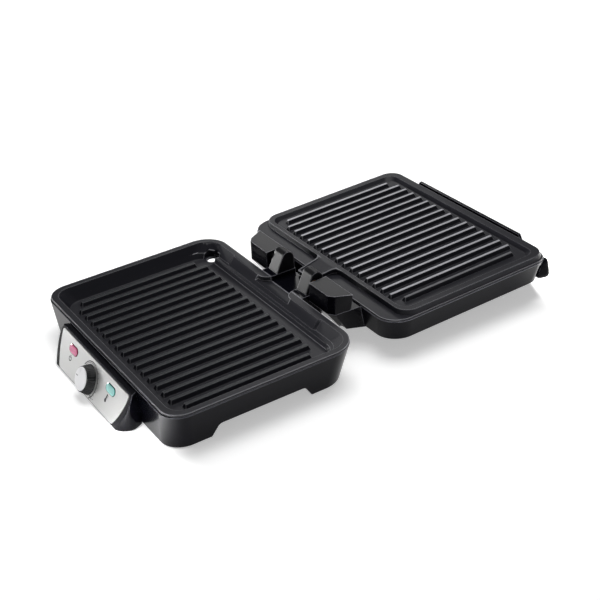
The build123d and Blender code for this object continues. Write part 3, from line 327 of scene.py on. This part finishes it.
@dataclass
class Workshop:
    """Holds the frame and the made materials, and turns meshes into pieces."""

    frame: dict
    smooth_angle: float = 40.0
    materials: dict[str, bpy.types.Material] = field(default_factory=dict)

    def dress(self, finish: Finish) -> bpy.types.Material:
        """The material of a finish, made once.

        Args:
            finish: The finish wanted.

        Returns:
            Its material.
        """
        if finish.name not in self.materials:
            self.materials[finish.name] = finish.material()
        return self.materials[finish.name]

    def body_of(self, node: str) -> str:
        """The body that carries a node."""
        return self.frame["nodes"][node]["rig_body"]

    def joint(self, name: str) -> dict:
        """The record's entry of a joint."""
        return next(joint for joint in self.frame["joints"] if joint["name"] == name)

    def piece(
        self, name: str, mesh: bmesh.types.BMesh, finishes: list[Finish], body: str
    ) -> bpy.types.Object:
        """Turns a finished bmesh into a piece that rides on a body.

        Args:
            name: The piece's name.
            mesh: The bmesh, which is freed.
            finishes: Finishes in the order of the faces' material numbers.
            body: The body that the piece rides on.

        Returns:
            The new object.
        """
        data = bpy.data.meshes.new(name)
        mesh.to_mesh(data)
        mesh.free()
        for finish in finishes:
            data.materials.append(self.dress(finish))
        data.polygons.foreach_set("use_smooth", [True] * len(data.polygons))
        data.set_sharp_from_angle(angle=math.radians(self.smooth_angle))
        made = bpy.data.objects.new(name, data)
        bpy.context.scene.collection.objects.link(made)
        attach(made, body)
        LOG.info("%s: %d faces on %s", name, len(data.polygons), body)
        return made

    def paint(self, finish: Finish, *nodes: str) -> None:
        """Gives carried-over CAD nodes a finish.

        Args:
            finish: The finish.
            nodes: The nodes' names.
        """
        for name in nodes:
            data = self.frame["nodes"][name].data
            data.materials.clear()
            data.materials.append(self.dress(finish))
            data.polygons.foreach_set("use_smooth", [False] * len(data.polygons))
            LOG.info("%s: its own shape in %s", name, finish.name)


# A rule gives a face its material number, and a test says yes or no to a face
FaceRule = Callable[[bmesh.types.BMFace], int]
FaceTest = Callable[[bmesh.types.BMFace], bool]


class Rounding(Enum):
    """How a piece gets its edge radius."""

    BEVELLED = "each sharp edge is bevelled"
    MELTED = "the surface is remade on an even grid and relaxed, which rounds small moulded shapes all over"


class Side(Enum):
    """A side of the grill, as its direction along the grill's width."""

    LEFT = -1
    RIGHT = 1


@dataclass
class Casting:
    """A moulded or cast piece made from its CAD node's surface, with its sharp edges rounded.

    The rounding is the bevel's width on a bevelled piece and the grid's spacing on a melted one. It stands
    for the real piece's edge radius, which shows as a thin bright line along each edge.
    """

    node: str
    finishes: list[Finish]
    rounding_mm: float
    way: Rounding = Rounding.BEVELLED
    bevel_steps: int = 2
    relaxings: int = 4
    relaxing_share: float = 0.5
    edge_angle: float = 28.0
    flat_angle: float = 0.6
    merge_mm: float = 0.002
    rule: FaceRule | None = None
    kept_sharp: FaceTest | None = None

    def cleaned(self, shop: Workshop) -> bmesh.types.BMesh:
        """Copies the node's surface, merges it and joins its flat faces where they will be bevelled.

        Args:
            shop: The workshop that holds the frame.

        Returns:
            The copy.
        """
        mesh = bmesh.new()
        mesh.from_mesh(shop.frame["nodes"][self.node].data)
        bmesh.ops.remove_doubles(mesh, verts=mesh.verts, dist=self.merge_mm * MM)
        if self.way is Rounding.BEVELLED:
            bmesh.ops.dissolve_limit(
                mesh, angle_limit=math.radians(self.flat_angle), use_dissolve_boundaries=False,
                verts=mesh.verts, edges=mesh.edges, delimit=set(),
            )
        return mesh

    def bevelled(self, mesh: bmesh.types.BMesh) -> bmesh.types.BMesh:
        """Bevels the sharp edges, apart from those on faces that are kept sharp.

        Args:
            mesh: The piece.

        Returns:
            The same bmesh.
        """
        limit = math.radians(self.edge_angle)
        sharp = [e for e in mesh.edges if e.is_manifold and e.calc_face_angle(0.0) > limit]
        if self.kept_sharp is not None:
            sharp = [e for e in sharp if not any(self.kept_sharp(face) for face in e.link_faces)]
        bmesh.ops.bevel(
            mesh, geom=sharp, offset=self.rounding_mm * MM, offset_type="OFFSET", affect="EDGES",
            segments=self.bevel_steps, profile=0.5, material=-1, clamp_overlap=False, loop_slide=True,
        )
        return mesh

    def melted(self, mesh: bmesh.types.BMesh) -> bmesh.types.BMesh:
        """Remakes the surface on an even grid and relaxes it.

        Args:
            mesh: The piece, which is freed.

        Returns:
            A new bmesh.
        """
        data = bpy.data.meshes.new("blank")
        mesh.to_mesh(data)
        mesh.free()
        blank = bpy.data.objects.new("blank", data)
        bpy.context.scene.collection.objects.link(blank)
        grid = blank.modifiers.new("grid", "REMESH")
        grid.mode = "VOXEL"
        grid.voxel_size = self.rounding_mm * MM
        even = bpy.data.meshes.new_from_object(blank.evaluated_get(bpy.context.evaluated_depsgraph_get()))
        soft = bmesh.new()
        soft.from_mesh(even)
        for _ in range(self.relaxings):
            bmesh.ops.smooth_vert(
                soft, verts=soft.verts, factor=self.relaxing_share, use_axis_x=True, use_axis_y=True,
                use_axis_z=True,
            )
        bpy.data.objects.remove(blank)
        bpy.data.meshes.remove(data)
        bpy.data.meshes.remove(even)
        return soft

    def build(self, shop: Workshop) -> None:
        """Builds the piece in place of its node.

        A bevelled piece takes its normals from its large faces, which keeps them evenly lit up to the bevel.

        Args:
            shop: The workshop that holds the frame.
        """
        mesh = self.cleaned(shop)
        mesh = self.melted(mesh) if self.way is Rounding.MELTED else self.bevelled(mesh)
        if self.rule is not None:
            for face in mesh.faces:
                face.material_index = self.rule(face)
        made = shop.piece(self.node + "_cast", mesh, self.finishes, shop.body_of(self.node))
        if self.way is Rounding.BEVELLED:
            flat = made.modifiers.new("flat_faces", "WEIGHTED_NORMAL")
            flat.keep_sharp = True
        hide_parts(self.node)


@dataclass
class Plates:
    """The two cooking plates, whose rib tops are rubbed and lightened by a painted sheen above the rest of
    the coating.

    Rib tops are told by their height, above the floor on the lower plate and above the hinge axis on the
    lid's, with room for the bevel beside them. Edges close to the hinge axis are left sharp.
    """

    lower_rib_top_mm: float = 30.0
    lid_rib_top_mm: float = -5.05
    above_top_mm: float = 0.1
    below_lower_top_mm: float = 0.3
    below_lid_top_mm: float = 0.32
    top_slope: float = 0.3
    edge_mm: float = 0.35
    nearest_rib_mm: float = 44.0
    outer_rib_mm: float = 101.0
    hinge_zone_mm: float = 36.0

    def build(self, shop: Workshop) -> None:
        """Builds both plates.

        Args:
            shop: The workshop that holds the frame.
        """
        anchor = Vector(shop.joint("lid_hinge")["pos_m"])
        up = Vector(shop.joint("lid_float")["axis"])
        along = ACROSS.cross(up) * -1

        def on_lower_rib(face: bmesh.types.BMFace) -> int:
            """1 on the tops of the lower ribs.

            Args:
                face: A face of the lower plate.

            Returns:
                The face's material number.
            """
            height = face.calc_center_median().z / MM - self.lower_rib_top_mm
            at_top = -self.below_lower_top_mm < height < self.above_top_mm
            return int(at_top and face.normal.z > self.top_slope)

        def on_lid_rib(face: bmesh.types.BMFace) -> int:
            """1 on the tops of the lid's ribs, and 2 on the outermost.

            Args:
                face: A face of the lid's plate.

            Returns:
                The face's material number.
            """
            centre = face.calc_center_median() - anchor
            height = centre.dot(up) / MM - self.lid_rib_top_mm
            clear_of_tongue = abs(centre.dot(along)) / MM > self.nearest_rib_mm
            at_top = -self.below_lid_top_mm < height < self.above_top_mm
            if not (at_top and face.normal.dot(up) > self.top_slope and clear_of_tongue):
                return 0
            return 2 if centre.x / MM > self.outer_rib_mm else 1

        def near_hinge(face: bmesh.types.BMFace) -> bool:
            """True on the spout, the tongue and what lies beside them."""
            centre = face.calc_center_median() - anchor
            return abs(centre.y) / MM < self.hinge_zone_mm

        Casting(
            "lower_plate", [NONSTICK, RIB_BASE_PAINTED_SHEEN], self.edge_mm, rule=on_lower_rib, kept_sharp=near_hinge
        ).build(shop)
        Casting(
            "lid_plate", [NONSTICK, RIB_LID_PAINTED_SHEEN, RIB_OUTER_PAINTED_SHEEN], self.edge_mm, rule=on_lid_rib, kept_sharp=near_hinge
        ).build(shop)


@dataclass
class Shells:
    """The gloss black base, control box, lid and handle, and the satin hinge saddles and arm covers."""

    edge_mm: float = 0.4
    fine_grid_mm: float = 0.45
    bezel_grid_mm: float = 0.65
    handle_grid_mm: float = 0.8
    cover_relaxings: int = 3
    side_slope: float = 0.55
    hinge_zone_mm: float = 46.0
    hinge_reach_mm: float = 100.0

    def build(self, shop: Workshop) -> None:
        """Builds the shells.

        Args:
            shop: The workshop that holds the frame.
        """
        anchor = Vector(shop.joint("lid_hinge")["pos_m"])
        up = Vector(shop.joint("lid_float")["axis"])

        def near_hinge(face: bmesh.types.BMFace) -> bool:
            """True on the deck between the saddles and on the lid's arms."""
            centre = face.calc_center_median() - anchor
            return abs(centre.y) / MM < self.hinge_zone_mm and abs(centre.x) / MM < self.hinge_reach_mm

        def on_side(face: bmesh.types.BMFace) -> int:
            """1 on the polished sides of a cover, whose top alone is textured."""
            return int(face.normal.dot(up) < self.side_slope)

        for node in ("base_housing", "lid_housing"):
            Casting(node, [GLOSS_BLACK], self.edge_mm, kept_sharp=near_hinge).build(shop)
        Casting("handle", [GLOSS_BLACK], self.handle_grid_mm, Rounding.MELTED).build(shop)
        Casting("control_bezel", [GLOSS_BLACK], self.bezel_grid_mm, Rounding.MELTED).build(shop)
        for side in Side:
            name = side.name.lower()
            Casting("hinge_saddle_" + name, [SATIN_BLACK], self.fine_grid_mm, Rounding.MELTED).build(shop)
            Casting(
                "arm_cover_" + name, [SATIN_GREY, GLOSS_BLACK], self.fine_grid_mm, Rounding.MELTED,
                relaxings=self.cover_relaxings, rule=on_side,
            ).build(shop)


@dataclass(frozen=True)
class Slope:
    """The panel's slanted face, on which a place is measured from the middle of its upper edge.

    The knob's joint lies knob_down_mm below that edge, and the fascia's front stands face_mm out from it.
    """

    matrix: Matrix
    knob_down_mm: float = 19.5
    face_mm: float = 0.5

    @classmethod
    def of_knob(cls, shop: Workshop) -> "Slope":
        """Finds the face by the knob's joint, whose axis stands square on it.

        Args:
            shop: The workshop that holds the frame.

        Returns:
            The face.
        """
        joint = shop.joint("thermostat_knob")
        normal = Vector(joint["axis"]).normalized()
        upward = normal.cross(ACROSS)
        turn = Matrix((ACROSS, upward, normal)).transposed().to_4x4()
        return cls(Matrix.Translation(Vector(joint["pos_m"])) @ turn)

    def at(self, across_mm: float, down_mm: float, out_mm: float) -> Matrix:
        """A place across the face, down from its upper edge and out from the knob's joint.

        Args:
            across_mm: Distance to the right of the middle.
            down_mm: Distance below the upper edge.
            out_mm: Distance out from the joint.

        Returns:
            The place, turned with the face.
        """
        local = Vector((across_mm, self.knob_down_mm - down_mm, out_mm)) * MM
        return self.matrix @ Matrix.Translation(local)


@dataclass
class Strokes:
    """Flat strokes of ink, gathered in one mesh. A vertex is tagged once it is in its place."""

    mesh: bmesh.types.BMesh = field(default_factory=bmesh.new)
    thickness_mm: float = 0.03
    arc_step: float = 8.0

    def arc(self, place: Matrix, radius_mm: float, start: float, end: float, width_mm: float) -> None:
        """Adds an arc.

        Args:
            place: The arc's centre.
            radius_mm: Middle radius.
            start: First angle in degrees.
            end: Last angle in degrees.
            width_mm: Width of the line.
        """
        turn = Matrix.Rotation(math.radians(start), 4, "Z")
        inner = radius_mm - width_mm / 2
        outer = radius_mm + width_mm / 2
        ends = [self.mesh.verts.new(turn @ Vector((reach * MM, 0, 0))) for reach in (inner, outer)]
        edge = self.mesh.edges.new(ends)
        bmesh.ops.spin(
            self.mesh, geom=[*ends, edge], cent=(0, 0, 0), axis=(0, 0, 1), angle=math.radians(end - start),
            steps=max(2, int(abs(end - start) / self.arc_step)), use_merge=abs(end - start) >= 360,
        )
        loose = [v for v in self.mesh.verts if not v.tag]
        bmesh.ops.transform(self.mesh, matrix=place, verts=loose)
        for vert in loose:
            vert.tag = True

    def disc(self, place: Matrix, width_mm: float) -> None:
        """Adds a filled disc."""
        self.arc(place, width_mm / 2, 0.0, 360.0, width_mm)

    def bar(self, place: Matrix, length_mm: float, width_mm: float, turn: float = 0.0) -> None:
        """Adds a bar.

        Args:
            place: The bar's middle.
            length_mm: Its length.
            width_mm: Its width.
            turn: Its angle from the panel's width, in degrees.
        """
        size = Matrix.Diagonal((length_mm * MM, width_mm * MM, 1.0, 1.0))
        where = place @ Matrix.Rotation(math.radians(turn), 4, "Z") @ size
        made = bmesh.ops.create_grid(self.mesh, x_segments=1, y_segments=1, size=0.5, matrix=where)
        for vert in made["verts"]:
            vert.tag = True


@dataclass
class Marks:
    """The printed heat scale about the knob, and one generic symbol under each light.

    Places are across and down on the panel, bars are length and width, and angles are in degrees.
    """

    line_mm: float = 1.0
    thin_mm: float = 0.5
    scale_radius_mm: float = 16.6
    scale_from: float = 150.0
    scale_to: float = -60.0
    inner_gap_mm: float = 1.4
    inner_to: float = 60.0
    ticks: int = 9
    tick_radius_mm: float = 18.0
    tick_from: float = 56.0
    tick_step: float = 14.0
    tick_mm: tuple[float, float] = (0.9, 0.7)
    dot_at_mm: tuple[float, float] = (10.3, 30.6)
    dot_mm: float = 0.9
    dashes_mm: tuple[tuple[float, float, float], ...] = ((13.6, 32.0, 2.6), (16.4, 31.2, 1.2))
    standby_at_mm: tuple[float, float] = (-42.4, 18.5)
    standby_radius_mm: float = 2.2
    standby_from: float = 125.0
    standby_to: float = 415.0
    standby_bar_mm: tuple[float, float] = (1.0, 2.8)
    standby_bar_up_mm: float = 1.7
    bulb_at_mm: tuple[float, float] = (37.0, 21.4)
    bulb_mm: float = 1.8
    stem_lean: float = -14.0
    stem_mm: tuple[float, float] = (1.9, 5.6)
    stem_up_mm: float = 3.6
    notches: int = 3
    notch_length_mm: float = 1.1
    notch_out_mm: float = 1.9
    notch_up_mm: float = 2.6
    notch_step_mm: float = 1.5

    def scale(self, strokes: Strokes, slope: Slope) -> None:
        """Prints the heat scale, with a dot and two dashes at its lower end.

        Args:
            strokes: The ink.
            slope: The panel's face.
        """
        out = slope.face_mm + strokes.thickness_mm
        middle = slope.at(0.0, slope.knob_down_mm, out)
        strokes.arc(middle, self.scale_radius_mm, self.scale_from, self.scale_to, self.line_mm)
        inner_radius = self.scale_radius_mm - self.inner_gap_mm
        strokes.arc(middle, inner_radius, self.scale_from, self.inner_to, self.thin_mm)
        for step in range(self.ticks):
            turn = Matrix.Rotation(math.radians(self.tick_from - self.tick_step * step), 4, "Z")
            reach = Matrix.Translation(Vector((self.tick_radius_mm * MM, 0, 0)))
            strokes.bar(middle @ turn @ reach, *self.tick_mm, turn=90.0)
        strokes.disc(slope.at(*self.dot_at_mm, out), self.dot_mm)
        for across, down, length in self.dashes_mm:
            strokes.bar(slope.at(across, down, out), length, self.thin_mm)

    def standby(self, strokes: Strokes, slope: Slope) -> None:
        """Prints the standby sign, a ring open at the top with a bar in the gap.

        Args:
            strokes: The ink.
            slope: The panel's face.
        """
        ring = slope.at(*self.standby_at_mm, slope.face_mm + strokes.thickness_mm)
        strokes.arc(ring, self.standby_radius_mm, self.standby_from, self.standby_to, self.line_mm)
        up = Matrix.Translation(Vector((0, self.standby_bar_up_mm * MM, 0)))
        strokes.bar(ring @ up, *self.standby_bar_mm)

    def thermometer(self, strokes: Strokes, slope: Slope) -> None:
        """Prints the thermometer, a leaning stem on a bulb with short notches beside it.

        Args:
            strokes: The ink.
            slope: The panel's face.
        """
        bulb = slope.at(*self.bulb_at_mm, slope.face_mm + strokes.thickness_mm)
        strokes.disc(bulb, self.bulb_mm)
        stem = bulb @ Matrix.Rotation(math.radians(self.stem_lean), 4, "Z")
        strokes.bar(stem @ Matrix.Translation(Vector((0, self.stem_up_mm * MM, 0))), *self.stem_mm)
        for step in range(self.notches):
            beside = (self.notch_out_mm, self.notch_up_mm + self.notch_step_mm * step, 0.0)
            notch = stem @ Matrix.Translation(Vector(beside) * MM)
            strokes.bar(notch, self.notch_length_mm, self.thin_mm)

    def build(self, shop: Workshop, slope: Slope) -> None:
        """Prints all marks on the fascia, and turns their faces outwards.

        Args:
            shop: The workshop that holds the frame.
            slope: The panel's face.
        """
        strokes = Strokes()
        self.scale(strokes, slope)
        self.standby(strokes, slope)
        self.thermometer(strokes, slope)
        mesh = strokes.mesh
        bmesh.ops.recalc_face_normals(mesh, faces=mesh.faces)
        normal = slope.matrix.to_3x3() @ Vector((0, 0, 1))
        wrong = [face for face in mesh.faces if face.normal.dot(normal) < 0]
        bmesh.ops.reverse_faces(mesh, faces=wrong)
        shop.piece("printed_marks", mesh, [INK], "base")


@dataclass
class Lens:
    """A round-ended acrylic block with a sloping rim in painted shade and a pale domed core.

    The steps of its front are each an inset and the rise of what lies inside it.
    """

    node: str
    side: Side
    core: Finish
    painted_shade_rim: Finish
    out_mm: float = 40.5
    down_mm: float = 9.5
    width_mm: float = 18.3
    height_mm: float = 8.4
    depth_mm: float = 3.0
    points: int = 48
    middle_mm: float = 0.001
    steps_mm: tuple[tuple[float, float], ...] = ((0.7, 0.5), (1.0, 0.16), (0.9, 0.05))
    rim_slope: float = 0.9

    def build(self, shop: Workshop, slope: Slope) -> None:
        """Builds the lens from a circle that is drawn apart, extruded and inset.

        Args:
            shop: The workshop that holds the frame.
            slope: The panel's face.
        """
        mesh = bmesh.new()
        bmesh.ops.create_circle(mesh, cap_ends=True, segments=self.points, radius=self.height_mm / 2 * MM)
        reach = (self.width_mm - self.height_mm) / 2 * MM
        for vert in mesh.verts:
            if abs(vert.co.x) > self.middle_mm * MM:
                vert.co.x += math.copysign(reach, vert.co.x)
        base = list(mesh.faces)
        bmesh.ops.translate(mesh, verts=mesh.verts, vec=(0, 0, -self.depth_mm * MM))
        front = bmesh.ops.extrude_discrete_faces(mesh, faces=base)["faces"]
        bmesh.ops.translate(mesh, verts=front[0].verts, vec=(0, 0, (self.depth_mm + slope.face_mm) * MM))
        for thickness, rise in self.steps_mm:
            bmesh.ops.inset_region(
                mesh, faces=front, thickness=thickness * MM, depth=rise * MM, use_even_offset=True
            )
        bmesh.ops.recalc_face_normals(mesh, faces=mesh.faces)
        for face in mesh.faces:
            face.material_index = int(face.normal.z < self.rim_slope)
        place = slope.at(self.side.value * self.out_mm, self.down_mm, 0.0)
        bmesh.ops.transform(mesh, matrix=place, verts=mesh.verts)
        made = shop.piece(self.node + "_moulded", mesh, [self.core, self.painted_shade_rim], "base")
        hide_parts(self.node)


@dataclass(frozen=True)
class Ring:
    """A ring of the knob's skirt: its height, the depth of its grooves and how far it is drawn in."""

    height_mm: float
    groove_mm: float = 0.0
    drawn_in_mm: float = 0.0


@dataclass
class Knob:
    """The knob's tapered skirt with its finger ribs, and the pointer on its cap."""

    radius_mm: float = 14.0
    top_radius_mm: float = 11.6
    base_mm: float = 0.8
    height_mm: float = 7.5
    ribs: int = 40
    points_per_rib: int = 6
    plain_foot_mm: float = 0.5
    ribbed_from_mm: float = 1.0
    groove_mm: float = 0.45
    groove_end_mm: float = 0.12
    shoulder_mm: float = 1.2
    lip_mm: float = 0.1
    lip_in_mm: float = 0.2
    crown_in_mm: float = 0.55
    cap_seat_in_mm: float = 1.2
    cap_top_mm: float = 8.8
    pointer_at_mm: tuple[float, float] = (-7.8, 0.4)
    pointer_mm: tuple[float, float] = (3.4, 0.8)

    def rings(self) -> list[Ring]:
        """Lists the skirt's rings above its lowest one.

        Returns:
            The rings, from the plain foot over the ribs to the rounded crown.
        """
        top = self.height_mm
        return [
            Ring(self.plain_foot_mm),
            Ring(self.ribbed_from_mm, self.groove_mm),
            Ring(top - self.shoulder_mm, self.groove_mm),
            Ring(top - self.shoulder_mm / 2, self.groove_end_mm),
            Ring(top - self.lip_mm, drawn_in_mm=self.lip_in_mm),
            Ring(top, drawn_in_mm=self.crown_in_mm),
        ]

    @staticmethod
    def grow(mesh: bmesh.types.BMesh, edges: Edges) -> tuple[Verts, Edges]:
        """Extrudes a ring of edges in place.

        Args:
            mesh: The skirt.
            edges: The skirt's newest ring of edges.

        Returns:
            The vertices and the edges of the new ring.
        """
        grown = bmesh.ops.extrude_edge_only(mesh, edges=edges)["geom"]
        verts = [g for g in grown if isinstance(g, bmesh.types.BMVert)]
        return verts, [g for g in grown if isinstance(g, bmesh.types.BMEdge)]

    def build_skirt(self, shop: Workshop, slope: Slope) -> None:
        """Builds the skirt, ring by ring.

        Args:
            shop: The workshop that holds the frame.
            slope: The panel's face.
        """
        mesh = bmesh.new()
        bmesh.ops.create_circle(
            mesh, cap_ends=False, segments=self.ribs * self.points_per_rib, radius=self.radius_mm * MM
        )
        bmesh.ops.translate(mesh, verts=mesh.verts, vec=(0, 0, self.base_mm * MM))
        taper = (self.radius_mm - self.top_radius_mm) / self.height_mm
        edges = list(mesh.edges)
        height = 0.0
        for ring in self.rings():
            verts, edges = self.grow(mesh, edges)
            bmesh.ops.translate(mesh, verts=verts, vec=(0, 0, (ring.height_mm - height) * MM))
            height = ring.height_mm
            for vert in verts:
                angle = math.atan2(vert.co.y, vert.co.x)
                wave = 0.5 - 0.5 * math.cos(angle * self.ribs)
                sunk = ring.groove_mm * wave + ring.drawn_in_mm
                reach = (self.radius_mm - taper * height - sunk) * MM
                vert.co.x = reach * math.cos(angle)
                vert.co.y = reach * math.sin(angle)
        verts, _ = self.grow(mesh, edges)
        inner = (self.top_radius_mm - self.cap_seat_in_mm) / (self.top_radius_mm - self.crown_in_mm)
        bmesh.ops.scale(mesh, vec=(inner, inner, 1.0), verts=verts)
        bmesh.ops.edgeloop_fill(mesh, edges=[e for e in mesh.edges if e.is_boundary])
        bmesh.ops.recalc_face_normals(mesh, faces=mesh.faces)
        bmesh.ops.transform(mesh, matrix=slope.matrix, verts=mesh.verts)
        made = shop.piece("knob_skirt_ribbed", mesh, [KNOB_BLACK], "knob")
        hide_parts("knob_skirt")

    def build_pointer(self, shop: Workshop, slope: Slope) -> None:
        """Prints the pointer on the cap, which carries it round.

        Args:
            shop: The workshop that holds the frame.
            slope: The panel's face.
        """
        strokes = Strokes()
        place = Vector((*self.pointer_at_mm, self.cap_top_mm + strokes.thickness_mm)) * MM
        strokes.bar(slope.matrix @ Matrix.Translation(place), *self.pointer_mm)
        shop.piece("pointer_mark", strokes.mesh, [INK], "knob")


@dataclass
class Panel:
    """The control panel: fascia, knob, two lights and printed marks."""

    edge_mm: float = 0.25

    def build(self, shop: Workshop) -> None:
        """Builds everything on the panel.

        Args:
            shop: The workshop that holds the frame.
        """
        slope = Slope.of_knob(shop)
        knob = Knob()
        Casting("fascia_plate", [SILVER_PLATE], self.edge_mm).build(shop)
        Casting("knob_cap", [CAP_SILVER], self.edge_mm).build(shop)
        knob.build_skirt(shop, slope)
        Lens("power_lens", Side.LEFT, RED_CORE, RED_RIM_PAINTED_SHADE).build(shop, slope)
        Lens("ready_lens", Side.RIGHT, GREEN_CORE, GREEN_RIM_PAINTED_SHADE).build(shop, slope)
        Marks().build(shop, slope)
        knob.build_pointer(shop, slope)


@dataclass
class Fittings:
    """Everything that keeps its CAD shape: fasteners, feet, bushes and what is inside."""

    def build(self, shop: Workshop) -> None:
        """Gives each fitting its finish.

        Args:
            shop: The workshop that holds the frame.
        """
        screws = [name for name in shop.frame["nodes"] if name.endswith("_screws")]
        shop.paint(ZINC_STEEL, *screws)
        shop.paint(ZINC_STEEL, "base_bottom_cover", "hinge_pin_left", "hinge_pin_right", "thermostat_shaft")
        shop.paint(SHEATH, "lower_heating_element", "lid_heating_element")
        shop.paint(REFLECTOR, "lower_reflector", "lid_reflector")
        shop.paint(BRONZE, "hinge_bush_left", "hinge_bush_right")
        shop.paint(BAKELITE, "thermostat_body")
        shop.paint(PORCELAIN, "thermal_fuse", "terminal_block")
        shop.paint(PALE_PLASTIC, "power_lamp", "ready_lamp")
        shop.paint(RUBBER, "foot_pads", "handle_rests", "cord_gland")


@dataclass(frozen=True)
class Lamp:
    """A soft rectangular lamp that the camera doesn't see.

    Its place, size and aim are in metres, its power in watts and its spread in degrees.
    """

    name: str
    place: Point
    size: tuple[float, float]
    power: float
    aim: Point = (0.0, 0.0, 0.0)
    spread: float = 180.0

    def build(self) -> None:
        """Adds the lamp, turned to its aim."""
        data = bpy.data.lights.new(self.name, "AREA")
        data.shape = "RECTANGLE"
        data.size, data.size_y = self.size
        data.energy = self.power
        data.spread = math.radians(self.spread)
        lamp = bpy.data.objects.new(self.name, data)
        bpy.context.scene.collection.objects.link(lamp)
        lamp.location = self.place
        lamp.rotation_euler = (Vector(self.aim) - Vector(self.place)).to_track_quat("-Z", "Y").to_euler()
        lamp.visible_camera = False


# A wide lamp above and behind the grill: the main light, with a soft shadow
OVERHEAD = Lamp("overhead", (-0.35, 0.45, 1.9), (1.5, 1.2), 27.0)
# A low lamp on the left, which the slanted fascia mirrors
LEFT_PANEL = Lamp("left_panel", (-1.1, -0.62, 0.16), (0.25, 0.22), 8.0)
# A lamp opposite the camera at the same slope, which level faces mirror: the sheen on rims and rib tops
SHEEN = Lamp("sheen", (-1.5, 0.86, 1.0), (0.6, 0.4), 2.4)


@dataclass(frozen=True)
class Studio:
    """The pale floor, the soft lamps and the photograph's camera, fitted to the object's rims and ribs.

    Lengths are in metres and angles in degrees. The camera's target is measured from the hinge axis along Y.
    The pools are small lamps that shine down on the floor, one before the base's near corner and one behind
    the lid's.
    """

    azimuth: float = 60.38
    elevation: float = 30.18
    roll: float = -4.98
    distance: float = 1.17594
    lens_mm: float = 74.64
    sensor_mm: float = 36.0
    sight: float = 40.0
    target: Point = (0.02387, -0.01084, 0.030)
    ceiling_level: float = 0.16
    wall_top: float = 0.06
    wall_fade: float = 0.08
    floor_half: float = 12.0
    floor_glow: float = 0.42
    glow_from: float = 0.7
    glow_to: float = 2.2
    lamps: tuple[Lamp, ...] = (OVERHEAD, LEFT_PANEL, SHEEN)
    pools: tuple[tuple[float, float], ...] = ((0.11, -0.285), (0.12, 0.29))
    pool_height: float = 0.12
    pool_size: float = 0.05
    pool_power: float = 0.35
    pool_spread: float = 70.0

    def camera(self, hinge_y: float) -> None:
        """Makes the camera.

        Args:
            hinge_y: Y of the hinge axis, from which the target is measured.
        """
        azimuth = math.radians(self.azimuth)
        elevation = math.radians(self.elevation)
        level = math.cos(elevation)
        back = Vector((math.sin(azimuth) * level, -math.cos(azimuth) * level, math.sin(elevation)))
        turn = (-back).to_track_quat("-Z", "Y").to_matrix().to_4x4()
        turn = turn @ Matrix.Rotation(math.radians(self.roll), 4, "Z")
        data = bpy.data.cameras.new("camera")
        data.lens = self.lens_mm
        data.sensor_width = self.sensor_mm
        data.clip_end = self.sight
        camera = bpy.data.objects.new("camera", data)
        bpy.context.scene.collection.objects.link(camera)
        target = Vector(self.target) + Vector((0, hinge_y, 0))
        camera.matrix_world = Matrix.Translation(target + back * self.distance) @ turn
        bpy.context.scene.camera = camera

    def world(self) -> None:
        """A dim ceiling over low white walls, so that black plastic stays black where no lamp is mirrored."""
        world = bpy.data.worlds.new("studio")
        world.use_nodes = True
        tree = world.node_tree
        ground = tree.nodes["Background"]
        ground.inputs["Color"].default_value = WHITE
        where = add_node(tree, "ShaderNodeTexCoord", {}, {})
        height = add_node(tree, "ShaderNodeSeparateXYZ", {}, {"Vector": where.outputs["Generated"]})
        wall_end = self.wall_top + self.wall_fade
        level = add_node(
            tree, "ShaderNodeMapRange",
            {"From Min": self.wall_top, "From Max": wall_end, "To Min": 1.0, "To Max": self.ceiling_level},
            {"Value": height.outputs["Z"]},
        )
        tree.links.new(level.outputs["Result"], ground.inputs["Strength"])
        bpy.context.scene.world = world

    def floor(self, shop: Workshop) -> None:
        """A large sheet of pale paper, which glows faintly near the object and fully far from it.

        Args:
            shop: The workshop that makes the material.
        """
        mesh = bmesh.new()
        bmesh.ops.create_grid(mesh, x_segments=1, y_segments=1, size=self.floor_half)
        data = bpy.data.meshes.new("floor")
        mesh.to_mesh(data)
        mesh.free()
        paper = shop.dress(PAPER)
        tree = paper.node_tree
        lit = tree.nodes["Principled BSDF"]
        lit.inputs["Emission Color"].default_value = WHITE
        where = add_node(tree, "ShaderNodeTexCoord", {}, {})
        reach = add_node(
            tree, "ShaderNodeVectorMath", {"operation": "LENGTH"}, {"Vector": where.outputs["Object"]}
        )
        glow = add_node(
            tree, "ShaderNodeMapRange",
            {"From Min": self.glow_from, "From Max": self.glow_to, "To Min": self.floor_glow, "To Max": 1.0},
            {"Value": reach.outputs["Value"]},
        )
        tree.links.new(glow.outputs["Result"], lit.inputs["Emission Strength"])
        data.materials.append(paper)
        sheet = bpy.data.objects.new("floor", data)
        bpy.context.scene.collection.objects.link(sheet)

    def build(self, shop: Workshop) -> None:
        """Builds the studio.

        Args:
            shop: The workshop that holds the frame.
        """
        self.floor(shop)
        self.world()
        for lamp in self.lamps:
            lamp.build()
        for x, y in self.pools:
            Lamp(
                "pool", (x, y, self.pool_height), (self.pool_size, self.pool_size), self.pool_power,
                aim=(x, y, 0.0), spread=self.pool_spread,
            ).build()
        self.camera(shop.joint("lid_hinge")["pos_m"][1])
        bpy.context.scene.view_settings.view_transform = "Standard"


def main() -> None:
    """Builds the grill around its frame and the studio around the grill."""
    logging.basicConfig(level=logging.INFO)
    shop = Workshop(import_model())
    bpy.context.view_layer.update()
    for assembly in (Plates(), Shells(), Panel(), Fittings(), Studio()):
        assembly.build(shop)


if __name__ == "__main__":
    main()
